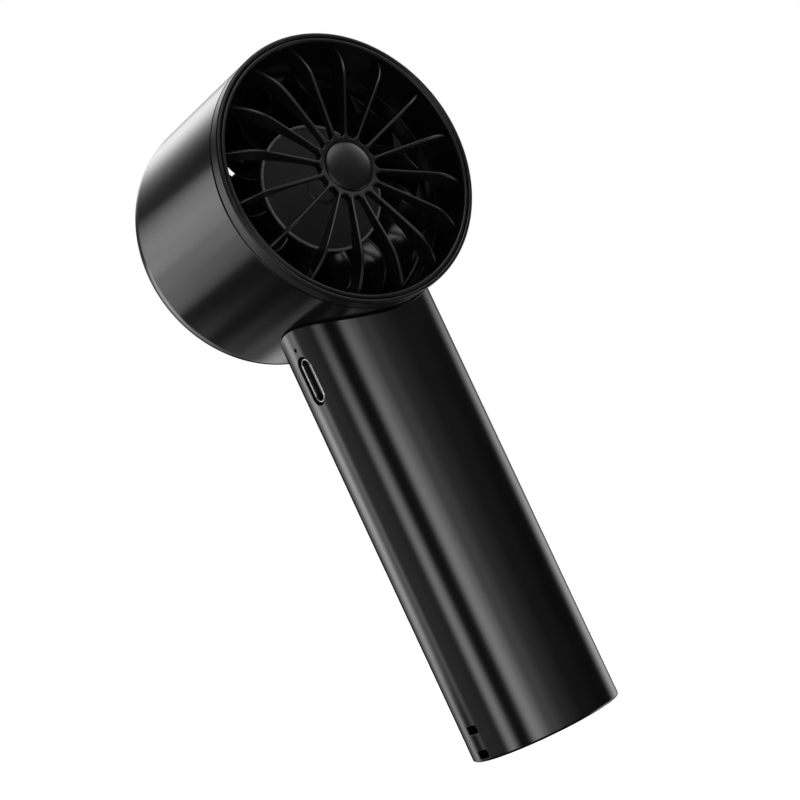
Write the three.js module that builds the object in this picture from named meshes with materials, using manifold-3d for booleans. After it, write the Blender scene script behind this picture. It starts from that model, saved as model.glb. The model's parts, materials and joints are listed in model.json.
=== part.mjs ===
// Hand-held turbo fan: a round metal barrel head on an oval tube handle.
//
// Millimetres, +Z up. The origin is the centre of the handle's flat bottom face. The fan blows
// along Y: the front grille faces -Y, and the charging port is on the -X side of the handle.
//
// Head pieces are drawn in the head's own frame: Y is the depth behind the front plane, and
// the radius is measured from the head's axis. One group then lifts them onto the handle.

import * as THREE from 'three';
import { mergeVertices } from 'three/addons/utils/BufferGeometryUtils.js';
import Module from 'manifold-3d';

const wasm = await Module();
wasm.setup();

// ---------------------------------------------------------------- driving dimensions

// Fits
const PARTING = 0.15;              // visible line between two fitted covers
const FIT = 0.2;                   // assembly clearance between nested pieces
const SCREW_FIT = 0.15;            // radial clearance of a screw or pin in its hole
const RUNNING_FIT = 0.08;          // radial clearance of the shaft in its bearings
const SINK = 0.5;                  // how far a joined shape starts inside its neighbour
const PAST = 1;                    // how far a cutter runs past the face that it opens

// Head barrel
const HEAD_RADIUS = 26.8;
const HEAD_LENGTH = 43.3;
const HEAD_REAR_ROUND = 7.3;
const SHELL_WALL = 0.8;

// Front bezel and grille
const BEZEL_DEPTH = 2.5;
const BEZEL_EDGE = 0.45;
const BEZEL_WIDTH = 0.85;          // seen from the front
const DUCT_WALL = 0.8;
const GRILLE_SKIRT_DEPTH = 10.3;
const GRILLE_LIP_EDGE = 0.35;
const RIB_COUNT = 16;
const RIB_THICKNESS = 0.58;
const RIB_CREST_INSET = 6.6;       // from the duct wall in to where the ribs stand furthest forward
const RIB_CREST = 1.73;            // how far they stand in front of the front plane there
const RIB_CREST_EASE = 2.2;        // length of the crest's soft turn to either side
const RIB_TIP_SET = 1.9;           // depth of the front edge where it sinks into the duct wall
const RIB_HUB_DEPTH = 1.9;         // front-to-back size of a rib at the hub
const RIB_WALL_DEPTH = 3;          // and at the duct wall
const RIB_MIDDLE_DEPTH = 0.9;      // pulls the back edge forward between the two, after the front
const GRILLE_HUB_RADIUS = 5.6;
const GRILLE_HUB_FRONT = 0.15;
const GRILLE_HUB_THICKNESS = 2.6;
const CAP_RADIUS = 4.9;
const CAP_DOME = 0.8;
const CAP_SEAT_DEPTH = 1.2;
const CAP_STUD_RADIUS = 1.4;

// Rear grille
const REAR_RING_WIDTH = 0.9;
const REAR_BAR_DEPTH = 1.5;
const REAR_SPOKES = 8;
const REAR_HUB_RADIUS = 4.4;
const REAR_RING_RADII = [8.6, 13.1];

// Impeller
const BLADE_COUNT = 13;
const IMPELLER_FRONT = 10.6;       // depth of the hub's front face
const IMPELLER_HUB_RADIUS = 12.8;
const IMPELLER_WALL = 0.9;
const IMPELLER_EDGE = 0.4;
const IMPELLER_BOSS_RADIUS = 3.1;
const BLADE_TIP_GAP = 0.7;
const BLADE_FRONT_SET = 1;         // front edge behind the hub's front face
const BLADE_REAR_SET = 1;          // rear edge ahead of the hub's rear end
const BLADE_THICKNESS = 0.7;
const BLADE_HUB_WRAP = 46;         // degrees a blade turns from front edge to rear edge
const BLADE_TIP_WRAP = 34;
const BLADE_CAMBER = 0.25;         // bulge of the blade's turn, as a share of the wrap
const BLADE_PHASE = 16.5;          // degrees from +X to the first blade's front edge, at rest
const BLADE_LEAN = 15.6;           // degrees the front edge runs ahead as it leaves the hub
const BLADE_SWEEP = -37.3;         // degrees it then falls back by at the tip
const BLADE_SPAN_STEPS = 7;
const BLADE_CHORD_STEPS = 4;
const VANE_SPAN_STEPS = 2;

// Motor
const SHAFT_RADIUS = 1;
const BEARING_RADIUS = 2.5;
const BEARING_WIDTH = 2.5;
const BEARING_TUBE_WALL = 0.8;
const CAN_WALL = 0.8;
const CAN_FRONT_PLATE = 0.8;
const CAN_BOSS_RADIUS = 3;
const CAN_BOSS_LENGTH = 1.6;
const MAGNET_THICKNESS = 1.15;
const MAGNET_SET = 1.5;            // magnets behind the can's front plate
const MAGNET_OVERHANG = 1.2;       // magnets past the core at each end
const AIR_GAP = 0.4;
const TOOTH_COUNT = 9;
const TOOTH_WIDTH = 1.3;
const TOOTH_SHOE = 0.9;
const CORE_YOKE = 1.4;
const COIL_THICKNESS = 0.75;
const MOTOR_BOARD_THICKNESS = 0.8;
const MOTOR_PLATE_THICKNESS = 1.6;
const CLIP_RADIUS = 2.2;
const CLIP_THICKNESS = 0.4;
const CLIP_MOUTH = 1.4;
const TOOTH_SLIT = 1.2;

// Stator frame, the ring with the vanes that carries the motor
const FRAME_RING_FRONT = 14.4;
const FRAME_RING_WALL = 0.65;
const FRAME_HUB_LENGTH = 8.7;
const FRAME_HUB_WALL = 0.8;
const VANE_COUNT = 7;
const VANE_THICKNESS = 0.9;
const VANE_LENGTH = 6.6;
const VANE_WRAP = -18;
const TAIL_DOME = 3;
const TAIL_PLUG = 2;

// Handle
const HANDLE_HALF_WIDTH = 15.4;    // along X
const HANDLE_HALF_DEPTH = 14.6;    // along Y
const HANDLE_WALL = 1.2;
const HANDLE_EDGE = 0.5;
const SADDLE_HEIGHT = 83.2;        // lowest point of the handle's top edge, under the barrel
const HEAD_GAP = 0.3;              // shadow gap between handle and barrel
const NECK_SET_X = 3.2;            // neck's sides in from the handle's inner wall
const NECK_SET_Y = 1.9;
const TONGUE_BOTTOM = 73;
const TONGUE_HALF_WIDTH = 8;
const TONGUE_FRONT = -9.5;
const TONGUE_BACK = -4.5;

// Bottom cap and lanyard slots
const CAP_FLOOR = 3;
const LANYARD_LOW = 1.4;           // heights of the two slots
const LANYARD_HIGH = 6.3;
const LANYARD_SLOT_WIDTH = 3.2;
const LANYARD_SLOT_HEIGHT = 1.6;
const LANYARD_FLOOR = 0.6;
const LANYARD_CHANNEL_DEPTH = 2.4;
const LANYARD_BLOCK_HEIGHT = 8.6;
const LANYARD_BLOCK_WIDTH = 8;
const LANYARD_BLOCK_DEPTH = 3.7;

// Battery and its carrier
const CELL_RADIUS = 9.2;
const CELL_LENGTH = 65;
const CELL_BOTTOM = 4;
const CELL_BUTTON_RADIUS = 3;
const CELL_BUTTON_HEIGHT = 0.6;
const CELL_EDGE = 0.5;
const TAB_THICKNESS = 0.3;
const TAB_WIDTH = 5;
const TAB_LENGTH = 11.2;
const LEAD_NOTCH_DEPTH = 2.2;
const CARRIER_RING_HEIGHTS = [9.2, 36, 66.4];
const CARRIER_RING_LENGTH = 3;
const CARRIER_RAIL_WIDTH = 6;
const CARRIER_RAIL_DEPTH = 2.6;
const CARRIER_DECK = 1.2;
const CARRIER_PLATE = 1.4;

// Charging port, control board, switch
const PORT_HEIGHT = 77.7;
const PORT_OFFSET = -0.4;          // along Y from the handle's axis
const PORT_SHELL_HEIGHT = 8.94;    // the USB-C shell's outer size
const PORT_SHELL_WIDTH = 3.26;
const PORT_SHELL_LENGTH = 7.3;
const PORT_SHELL_WALL = 0.3;
const PORT_RECESS = 0.45;
const PORT_HOLE_MARGIN = 0.4;
const PORT_TONGUE_THICKNESS = 0.7;
const PORT_TONGUE_MARGIN = 1.2;
const PORT_TONGUE_SET = 0.8;
const PORT_BASE_LENGTH = 1.2;
const PORT_END_ROUNDNESS = 0.99;   // share of a full half-circle at the outline's ends
const BOARD_THICKNESS = 1;
const BOARD_LEFT_SET = 1.4;        // board's edges in from the handle's inner wall
const BOARD_RIGHT_SET = 2.2;
const BOARD_BOTTOM = 71.9;
const BOARD_TOP = 82.5;
const BOARD_EAR_TOP = 85.4;
const BOARD_EAR_WIDTH = 1.4;
const LED_HEIGHT = 84.2;
const LED_HOLE_RADIUS = 0.42;
const LED_SIZE = 1.4;
const LIGHT_PIPE_FIT = 0.07;
const LIGHT_PIPE_RECESS = 0.3;
const BUTTON_HEIGHT = 77;
const BUTTON_RADIUS = 4.1;
const BUTTON_PROUD = 0.4;
const BUTTON_EDGE = 0.3;
const BUTTON_TRAVEL = 0.4;
const BUTTON_BEZEL_WIDTH = 0.9;
const BUTTON_BEZEL_PROUD = 0.15;
const BUTTON_BEZEL_DEPTH = 2.8;
const BUTTON_CAP_LENGTH = 4;
const BUTTON_FLANGE = 0.7;
const BUTTON_STEM_RADIUS = 1.5;
const SWITCH_SIZE = 6;
const SWITCH_DEPTH = 3.5;
const PLUNGER_RADIUS = 1.6;
const PLUNGER_PROUD = 0.6;
const CHIP_SIZE = 4;
const CHIP_DEPTH = 0.8;
const INDUCTOR_RADIUS = 2.1;
const INDUCTOR_SET = 0.8;          // from the board's right edge
const CHIP_X = 1;
const INDUCTOR_DEPTH = 1.8;

// Screws and leads
const NECK_SCREW_RADIUS = 1;
const NECK_SCREW_HEAD_RADIUS = 1.9;
const NECK_SCREW_HEAD = 1.2;
const NECK_SCREW_SPACING = 10;
const NECK_SCREW_HEIGHT = 77.6;
const BOARD_SCREW_RADIUS = 0.8;
const BOARD_SCREW_HEAD_RADIUS = 1.6;
const BOARD_SCREW_HEAD = 1;
const BOARD_SCREW_BITE = 0.4;      // how far it reaches into the carrier's plate
const BOARD_POST_RADIUS = 1.75;
const BOARD_POST_GAP = 0.9;        // between the port's shell and the post beside it
const BOARD_POST_RIGHT = 5;
const BOARD_POST_LOW = 73.4;
const BOARD_POST_HIGH = 81;
const LEAD_RADIUS = 0.45;
const LEAD_PITCH = 1.15;
const LEAD_HOLE_RADIUS = 2;
const LEAD_Y = 8.3;                // motor leads come down this far behind the handle's axis
const LEAD_RUN_SETS = [2.8, 3.8, 4.4]; // drops below the neck along the motor leads' run
const LEAD_LANDING_SET = 4;        // motor leads' landing, from the board's right end
const LEAD_BEND = 3;               // length of a lead's bend

// Facets
const ROUND = 48;                  // facets of the large round pieces
const MEDIUM = 24;
const SMALL = 16;
const CORE_FACETS = 36;
const LEAD_SIDES = 6;

// ---------------------------------------------------------------- values worked out once

const SHELL_INNER = HEAD_RADIUS - SHELL_WALL;
const BEZEL_INNER = HEAD_RADIUS - BEZEL_WIDTH;
const DUCT_OUTER = BEZEL_INNER - PARTING;
const DUCT_RADIUS = DUCT_OUTER - DUCT_WALL;
const RIB_CREST_RADIUS = DUCT_RADIUS - RIB_CREST_INSET;
const HEAD_AXIS_HEIGHT = SADDLE_HEIGHT + HEAD_GAP + HEAD_RADIUS;
const NECK_BOTTOM = SADDLE_HEIGHT - HEAD_GAP;
const REAR_CENTRE_RADIUS = HEAD_RADIUS - HEAD_REAR_ROUND;
const REAR_CENTRE_DEPTH = HEAD_LENGTH - HEAD_REAR_ROUND;
const REAR_BASKET_FRONT = REAR_CENTRE_DEPTH;
const HANDLE_INNER_X = HANDLE_HALF_WIDTH - HANDLE_WALL;
const HANDLE_INNER_Y = HANDLE_HALF_DEPTH - HANDLE_WALL;
const NECK_HALF_WIDTH = HANDLE_INNER_X - NECK_SET_X;
const NECK_HALF_DEPTH = HANDLE_INNER_Y - NECK_SET_Y;

const FRAME_REAR = REAR_BASKET_FRONT - 2 * FIT;
const FRAME_HUB_FRONT = FRAME_REAR - FRAME_HUB_LENGTH;
const IMPELLER_REAR = FRAME_HUB_FRONT - 2.5 * FIT;
const IMPELLER_INNER = IMPELLER_HUB_RADIUS - IMPELLER_WALL;
const IMPELLER_DISC_REAR = IMPELLER_FRONT + IMPELLER_WALL + 2 * IMPELLER_EDGE;
const FRAME_RING_OUTER = DUCT_RADIUS - PARTING;
const FRAME_RING_INNER = FRAME_RING_OUTER - FRAME_RING_WALL;
const BLADE_TIP_RADIUS = FRAME_RING_INNER - BLADE_TIP_GAP;

const CAN_OUTER = IMPELLER_INNER - FIT;
const CAN_INNER = CAN_OUTER - CAN_WALL;
const CAN_FRONT = IMPELLER_DISC_REAR + FIT;
const CAN_REAR = IMPELLER_REAR - 4 * FIT;
const CAN_BOSS_REAR = CAN_FRONT + CAN_FRONT_PLATE + CAN_BOSS_LENGTH;
const MAGNET_OUTER = CAN_INNER - FIT;
const MAGNET_INNER = MAGNET_OUTER - MAGNET_THICKNESS;
const MAGNET_REAR = CAN_REAR - 2 * FIT;
const MAGNET_FRONT = CAN_FRONT + CAN_FRONT_PLATE + MAGNET_SET;
const CORE_OUTER = MAGNET_INNER - AIR_GAP;
const CORE_FRONT = MAGNET_FRONT + MAGNET_OVERHANG;
const CORE_REAR = MAGNET_REAR - MAGNET_OVERHANG;
const TUBE_INNER = BEARING_RADIUS + FIT / 2;
const TUBE_OUTER = TUBE_INNER + BEARING_TUBE_WALL;
const TUBE_FRONT = CAN_BOSS_REAR + 2 * FIT;
const CORE_BORE = TUBE_OUTER + FIT;
const BOARD_FRONT_DEPTH = IMPELLER_REAR + 4 * FIT;
const PLATE_FRONT = BOARD_FRONT_DEPTH + MOTOR_BOARD_THICKNESS + FIT;
const PLATE_REAR = PLATE_FRONT + MOTOR_PLATE_THICKNESS;
const FRONT_BEARING_DEPTH = TUBE_FRONT + FIT;
const REAR_BEARING_DEPTH = PLATE_REAR - 2 * CLIP_THICKNESS - 2 * FIT - BEARING_WIDTH;
const CLIP_DEPTH = REAR_BEARING_DEPTH + BEARING_WIDTH + FIT;
const SHAFT_REAR = CLIP_DEPTH + 2 * CLIP_THICKNESS;

const CAP_HALF_X = HANDLE_INNER_X - FIT;
const CAP_HALF_Y = HANDLE_INNER_Y - FIT;
const CELL_TOP = CELL_BOTTOM + CELL_LENGTH;
const CELL_BORE = CELL_RADIUS + FIT;
const CARRIER_RING_TOP = CARRIER_RING_HEIGHTS[2] + CARRIER_RING_LENGTH;
const DECK_BOTTOM = CARRIER_RING_TOP;
const DECK_TOP = DECK_BOTTOM + CARRIER_DECK;
const PLATE_FRONT_Y = TONGUE_BACK + FIT;
const PLATE_BACK_Y = PLATE_FRONT_Y + CARRIER_PLATE;
const BOARD_FRONT_Y = PORT_OFFSET + PORT_SHELL_WIDTH / 2 + FIT / 4;
const BOARD_BACK_Y = BOARD_FRONT_Y + BOARD_THICKNESS;
const BOARD_LEFT = -HANDLE_INNER_X + BOARD_LEFT_SET;
const BOARD_RIGHT = HANDLE_INNER_X - BOARD_RIGHT_SET;
const BOARD_EAR_RIGHT = BOARD_LEFT + BOARD_EAR_WIDTH;
const INDUCTOR_X = BOARD_RIGHT - INDUCTOR_SET - INDUCTOR_RADIUS;
const PORT_MOUTH_X = -HANDLE_HALF_WIDTH + PORT_RECESS;
const PORT_BACK_X = PORT_MOUTH_X + PORT_SHELL_LENGTH;
const BOARD_POST_LEFT = PORT_BACK_X + BOARD_POST_GAP + BOARD_POST_RADIUS;
const BOARD_SCREW_SPOTS = [
  [BOARD_POST_RIGHT, BOARD_POST_HIGH],
  [BOARD_POST_RIGHT, BOARD_POST_LOW],
  [BOARD_POST_LEFT, BOARD_POST_LOW],
];
const SWITCH_BACK_Y = BOARD_BACK_Y + FIT / 4 + SWITCH_DEPTH;
const BUTTON_FACE_Y = HANDLE_HALF_DEPTH + BUTTON_PROUD;
const BUTTON_CAP_BACK_Y = BUTTON_FACE_Y - BUTTON_CAP_LENGTH;
const BUTTON_TIP_Y = SWITCH_BACK_Y + PLUNGER_PROUD + FIT / 2;
const BEZEL_RING_BACK_Y = HANDLE_HALF_DEPTH + BUTTON_BEZEL_PROUD - BUTTON_BEZEL_DEPTH;
const LEAD_DEPTH = BOARD_FRONT_DEPTH + MOTOR_BOARD_THICKNESS / 2;
const HANDLE_TO_FRONT = LEAD_DEPTH - LEAD_Y;   // handle axis behind the head's front plane
const LEAD_LANDING_Y = BOARD_BACK_Y + LEAD_RADIUS + 2 * FIT;

// ---------------------------------------------------------------- geometry helpers

// A closed three.js geometry as a solid for cutting and joining.
function solidOf(geometry) {
  const bare = geometry.clone();
  bare.deleteAttribute('normal');
  bare.deleteAttribute('uv');
  const merged = mergeVertices(bare, 1e-4);
  const position = merged.attributes.position;
  const corners = [];
  for (let i = 0; i < merged.index.count; i += 3) {
    const [a, b, c] = [0, 1, 2].map((k) => merged.index.getX(i + k));
    if (a !== b && b !== c && c !== a) {
      corners.push([a, b, c]);
    }
  }
  const outward = signedVolume(position, corners) > 0;
  const triangles = outward ? corners : corners.map(([a, b, c]) => [a, c, b]);
  return new wasm.Manifold(new wasm.Mesh({
    numProp: 3,
    vertProperties: new Float32Array(position.array),
    triVerts: new Uint32Array(triangles.flat()),
  }));
}

function signedVolume(position, triangles) {
  const [p, q, r] = [new THREE.Vector3(), new THREE.Vector3(), new THREE.Vector3()];
  let total = 0;
  for (const [a, b, c] of triangles) {
    p.fromBufferAttribute(position, a);
    q.fromBufferAttribute(position, b);
    r.fromBufferAttribute(position, c);
    total += p.dot(q.cross(r)) / 6;
  }
  return total;
}

function join(first, ...others) {
  return others.reduce((solid, other) => solid.add(other), first);
}

function cut(first, ...others) {
  return others.reduce((solid, other) => solid.subtract(other), first);
}

function geometryOf(solid) {
  const mesh = solid.getMesh();
  const geometry = new THREE.BufferGeometry();
  geometry.setAttribute('position', new THREE.BufferAttribute(new Float32Array(mesh.vertProperties), 3));
  geometry.setIndex(new THREE.BufferAttribute(new Uint32Array(mesh.triVerts), 1));
  geometry.computeVertexNormals();
  return geometry;
}

const AXES = {
  x: [[0, 1, 0], [0, 0, 1], [1, 0, 0]],   // outline drawn in (y, z)
  y: [[1, 0, 0], [0, 0, 1], [0, -1, 0]],  // outline drawn in (x, z)
  z: [[1, 0, 0], [0, 1, 0], [0, 0, 1]],   // outline drawn in (x, y)
};

// A flat outline pushed along an axis, from one coordinate to another.
function prism(shape, axis, from, to, curveSegments = SMALL) {
  const geometry = new THREE.ExtrudeGeometry(shape, {
    depth: to - from,
    bevelEnabled: false,
    curveSegments: curveSegments / 2,
  });
  const basis = AXES[axis].map((column) => new THREE.Vector3(...column));
  geometry.applyMatrix4(new THREE.Matrix4().makeBasis(...basis));
  const start = axis === 'y' ? to : from;
  const shift = { x: 0, y: 0, z: 0, [axis]: start };
  geometry.translate(shift.x, shift.y, shift.z);
  return solidOf(geometry);
}

function box(x0, x1, y0, y1, z0, z1) {
  const geometry = new THREE.BoxGeometry(x1 - x0, y1 - y0, z1 - z0);
  geometry.translate((x0 + x1) / 2, (y0 + y1) / 2, (z0 + z1) / 2);
  return solidOf(geometry);
}

function circle(u, v, radius) {
  return new THREE.Shape().absarc(u, v, radius, 0, 2 * Math.PI);
}

function ellipse(halfU, halfV) {
  return new THREE.Shape().absellipse(0, 0, halfU, halfV, 0, 2 * Math.PI);
}

function slot(u, v, width, height, radius) {
  const [right, top] = [width / 2 - radius, height / 2 - radius];
  const shape = new THREE.Shape();
  shape.absarc(u + right, v + top, radius, 0, Math.PI / 2);
  shape.absarc(u - right, v + top, radius, Math.PI / 2, Math.PI);
  shape.absarc(u - right, v - top, radius, Math.PI, 1.5 * Math.PI);
  shape.absarc(u + right, v - top, radius, 1.5 * Math.PI, 2 * Math.PI);
  return shape;
}

function polygon(points) {
  return new THREE.Shape(points.map(([u, v]) => new THREE.Vector2(u, v)));
}

// A profile of [radius, depth] points turned about the Y axis.
function turned(points, segments = ROUND) {
  const profile = points.map(([r, d]) => new THREE.Vector2(r, d));
  const [first, last] = [profile[0], profile[profile.length - 1]];
  if (first.x > 0 || last.x > 0) {
    profile.push(first.clone());
  }
  return solidOf(new THREE.LatheGeometry(profile, segments, Math.PI / 2));
}

function tube(inner, outer, front, rear, segments = ROUND) {
  return turned([[inner, front], [outer, front], [outer, rear], [inner, rear]], segments);
}

function rod(radius, front, rear, segments = SMALL) {
  return turned([[0, front], [radius, front], [radius, rear], [0, rear]], segments);
}

// Points of an arc in a [radius, depth] profile, angles in degrees from the radius axis.
function arc(centreR, centreD, radius, fromDegrees, toDegrees, steps) {
  const points = [];
  for (let i = 0; i <= steps; i += 1) {
    const angle = THREE.MathUtils.degToRad(fromDegrees + (toDegrees - fromDegrees) * i / steps);
    points.push([centreR + radius * Math.cos(angle), centreD + radius * Math.sin(angle)]);
  }
  return points;
}

// A box grid bent by place(span, chord, thickness) into a blade or a vane.
function bentPlate(spanSteps, chordSteps, place) {
  const geometry = new THREE.BoxGeometry(1, 1, 1, spanSteps, chordSteps, 1);
  const position = geometry.attributes.position;
  for (let i = 0; i < position.count; i += 1) {
    const [span, chord] = [position.getX(i) + 0.5, position.getY(i) + 0.5];
    position.setXYZ(i, ...place(span, chord, position.getZ(i)));
  }
  return solidOf(geometry);
}

// One curved blade between two radii. Angles run from +X towards +Z, in degrees.
function blade(spec, turn) {
  const mix = THREE.MathUtils.lerp;
  return bentPlate(spec.spanSteps, BLADE_CHORD_STEPS, (span, chord, side) => {
    const radius = mix(spec.inner, spec.outer, span);
    const wrap = mix(spec.hubWrap, spec.tipWrap, span);
    const sweep = spec.lean * span + spec.sweep * span * span;
    const pitch = Math.atan2(THREE.MathUtils.degToRad(wrap) * radius, spec.rear - spec.front);
    const camber = chord + BLADE_CAMBER * chord * (1 - chord);
    const along = side * spec.thickness * Math.cos(pitch) / radius;
    const across = side * spec.thickness * Math.sin(pitch);
    const angle = THREE.MathUtils.degToRad(turn + sweep - wrap * camber) + along;
    const depth = mix(spec.front, spec.rear, chord) + across;
    return [radius * Math.cos(angle), depth, radius * Math.sin(angle)];
  });
}

function around(solid, count, start = 0) {
  const copies = [];
  for (let i = 0; i < count; i += 1) {
    copies.push(solid.rotate([0, start + 360 * i / count, 0]));
  }
  return copies;
}

// ---------------------------------------------------------------- materials

const FINISHES = {
  black_metal: { color: 0x16171a, roughness: 0.42, metalness: 0.8 },
  black_plastic: { color: 0x131415, roughness: 0.5, metalness: 0 },
  gloss_plastic: { color: 0x0d0e0f, roughness: 0.22, metalness: 0 },
  white_plastic: { color: 0xd8d8d2, roughness: 0.6, metalness: 0 },
  steel: { color: 0xb4b6b8, roughness: 0.3, metalness: 1 },
  dark_steel: { color: 0x4b4d50, roughness: 0.45, metalness: 0.9 },
  copper: { color: 0xb3622e, roughness: 0.4, metalness: 0.9 },
  board: { color: 0x17402a, roughness: 0.55, metalness: 0 },
  cell_wrap: { color: 0x2f6f9e, roughness: 0.4, metalness: 0 },
  clear: { color: 0xe6ecee, roughness: 0.15, metalness: 0 },
  red_lead: { color: 0xa02020, roughness: 0.5, metalness: 0 },
  black_lead: { color: 0x161616, roughness: 0.5, metalness: 0 },
};

function piece(name, solid, finish) {
  const mesh = new THREE.Mesh(geometryOf(solid), new THREE.MeshStandardMaterial(FINISHES[finish]));
  mesh.name = name;
  return mesh;
}

// ---------------------------------------------------------------- head covers

function headShell() {
  const front = BEZEL_DEPTH + PARTING;
  const outer = arc(REAR_CENTRE_RADIUS, REAR_CENTRE_DEPTH, HEAD_REAR_ROUND, 0, 90, 5);
  const inner = arc(REAR_CENTRE_RADIUS, REAR_CENTRE_DEPTH, HEAD_REAR_ROUND - SHELL_WALL, 90, 0, 5);
  const barrel = turned([[HEAD_RADIUS, front], ...outer, ...inner, [SHELL_INNER, front]]);
  const oval = ellipse(NECK_HALF_WIDTH + FIT, NECK_HALF_DEPTH + FIT);
  const neckHole = prism(oval, 'z', -HEAD_RADIUS, 0, MEDIUM);
  return cut(barrel, shiftedToHandle(neckHole));
}

// Moves a solid drawn about the handle's axis to that axis' place in the head's frame.
function shiftedToHandle(solid) {
  return solid.translate([0, HANDLE_TO_FRONT, 0]);
}

function frontBezel() {
  const half = (HEAD_RADIUS - BEZEL_INNER) / 2;
  const edge = Math.min(BEZEL_EDGE, half);
  return turned([
    ...arc(HEAD_RADIUS - edge, edge, edge, 0, -90, 2),
    ...arc(BEZEL_INNER + edge, edge, edge, -90, -180, 2),
    [BEZEL_INNER, BEZEL_DEPTH],
    [HEAD_RADIUS, BEZEL_DEPTH],
  ]);
}

// Front and back edges of a grille rib, as [radius, depth].
function ribOutline() {
  const reach = DUCT_RADIUS + DUCT_WALL / 2;
  const root = GRILLE_HUB_RADIUS - 1;
  const outline = new THREE.Shape();
  outline.moveTo(root, GRILLE_HUB_FRONT);
  outline.bezierCurveTo(
    (2 * root + RIB_CREST_RADIUS) / 3, GRILLE_HUB_FRONT - RIB_CREST / 3,
    RIB_CREST_RADIUS - RIB_CREST_EASE, -RIB_CREST,
    RIB_CREST_RADIUS, -RIB_CREST,
  );
  outline.bezierCurveTo(
    RIB_CREST_RADIUS + RIB_CREST_EASE, -RIB_CREST,
    reach - RIB_CREST_EASE, -RIB_CREST / 4,
    reach, RIB_TIP_SET,
  );
  outline.lineTo(reach, RIB_TIP_SET + RIB_WALL_DEPTH);
  outline.quadraticCurveTo(
    RIB_CREST_RADIUS, RIB_MIDDLE_DEPTH - RIB_CREST,
    root, GRILLE_HUB_FRONT + RIB_HUB_DEPTH,
  );
  return outline;
}

function frontGrille() {
  const edge = Math.min(GRILLE_LIP_EDGE, DUCT_WALL / 2);
  const skirt = turned([
    ...arc(DUCT_OUTER - edge, edge, edge, 0, -90, 2),
    ...arc(DUCT_RADIUS + edge, edge, edge, -90, -180, 2),
    [DUCT_RADIUS, GRILLE_SKIRT_DEPTH],
    [DUCT_OUTER, GRILLE_SKIRT_DEPTH],
  ]);
  const ribGeometry = new THREE.ExtrudeGeometry(ribOutline(), {
    depth: RIB_THICKNESS,
    curveSegments: 5,
    bevelEnabled: false,
  });
  ribGeometry.translate(0, 0, -RIB_THICKNESS / 2);
  const hub = rod(GRILLE_HUB_RADIUS, GRILLE_HUB_FRONT, GRILLE_HUB_FRONT + GRILLE_HUB_THICKNESS, MEDIUM);
  const seat = rod(CAP_RADIUS + PARTING, -CAP_DOME, GRILLE_HUB_FRONT + CAP_SEAT_DEPTH, MEDIUM);
  const studHole = rod(CAP_STUD_RADIUS + SCREW_FIT, 0, 2 * GRILLE_HUB_THICKNESS);
  return cut(join(skirt, ...around(solidOf(ribGeometry), RIB_COUNT), hub), seat, studHole);
}

function grilleCap() {
  const dome = [];
  const steps = 4;
  for (let i = 0; i <= steps; i += 1) {
    const share = i / steps;
    dome.push([CAP_RADIUS * share, GRILLE_HUB_FRONT - CAP_DOME * (1 - share * share)]);
  }
  const seatFloor = GRILLE_HUB_FRONT + CAP_SEAT_DEPTH - FIT;
  const studEnd = GRILLE_HUB_FRONT + GRILLE_HUB_THICKNESS;
  return turned([
    ...dome,
    [CAP_RADIUS, seatFloor],
    [CAP_STUD_RADIUS, seatFloor],
    [CAP_STUD_RADIUS, studEnd],
    [0, studEnd],
  ], MEDIUM);
}

function ductHousing() {
  const front = GRILLE_SKIRT_DEPTH + FIT;
  const rear = REAR_BASKET_FRONT - FIT;
  const drop = HEAD_AXIS_HEIGHT;
  const oval = ellipse(NECK_HALF_WIDTH, NECK_HALF_DEPTH);
  const neck = prism(oval, 'z', NECK_BOTTOM - drop, -DUCT_RADIUS / 2, MEDIUM);
  const tongue = box(
    -TONGUE_HALF_WIDTH, TONGUE_HALF_WIDTH,
    TONGUE_FRONT, TONGUE_BACK,
    TONGUE_BOTTOM - drop, NECK_BOTTOM - drop + SINK,
  );
  const leadHole = prism(circle(0, LEAD_Y, LEAD_HOLE_RADIUS), 'z', -drop, 0);
  const screwHoles = neckScrewSpots().map(([x, z]) => (
    prism(circle(x, z - drop, NECK_SCREW_RADIUS + SCREW_FIT), 'y', -HANDLE_HALF_DEPTH, HANDLE_HALF_DEPTH)
  ));
  const stem = shiftedToHandle(cut(join(neck, tongue), leadHole, ...screwHoles));
  const barrel = tube(DUCT_RADIUS, DUCT_OUTER, front, rear);
  const bore = rod(DUCT_RADIUS, 0, HEAD_LENGTH, ROUND);
  const grilleRoom = rod(SHELL_INNER, 0, front, ROUND);
  return cut(join(barrel, cut(stem, bore, grilleRoom)), shiftedToHandle(leadHole));
}

function neckScrewSpots() {
  return [-1, 1].map((side) => [side * NECK_SCREW_SPACING / 2, NECK_SCREW_HEIGHT]);
}

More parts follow.
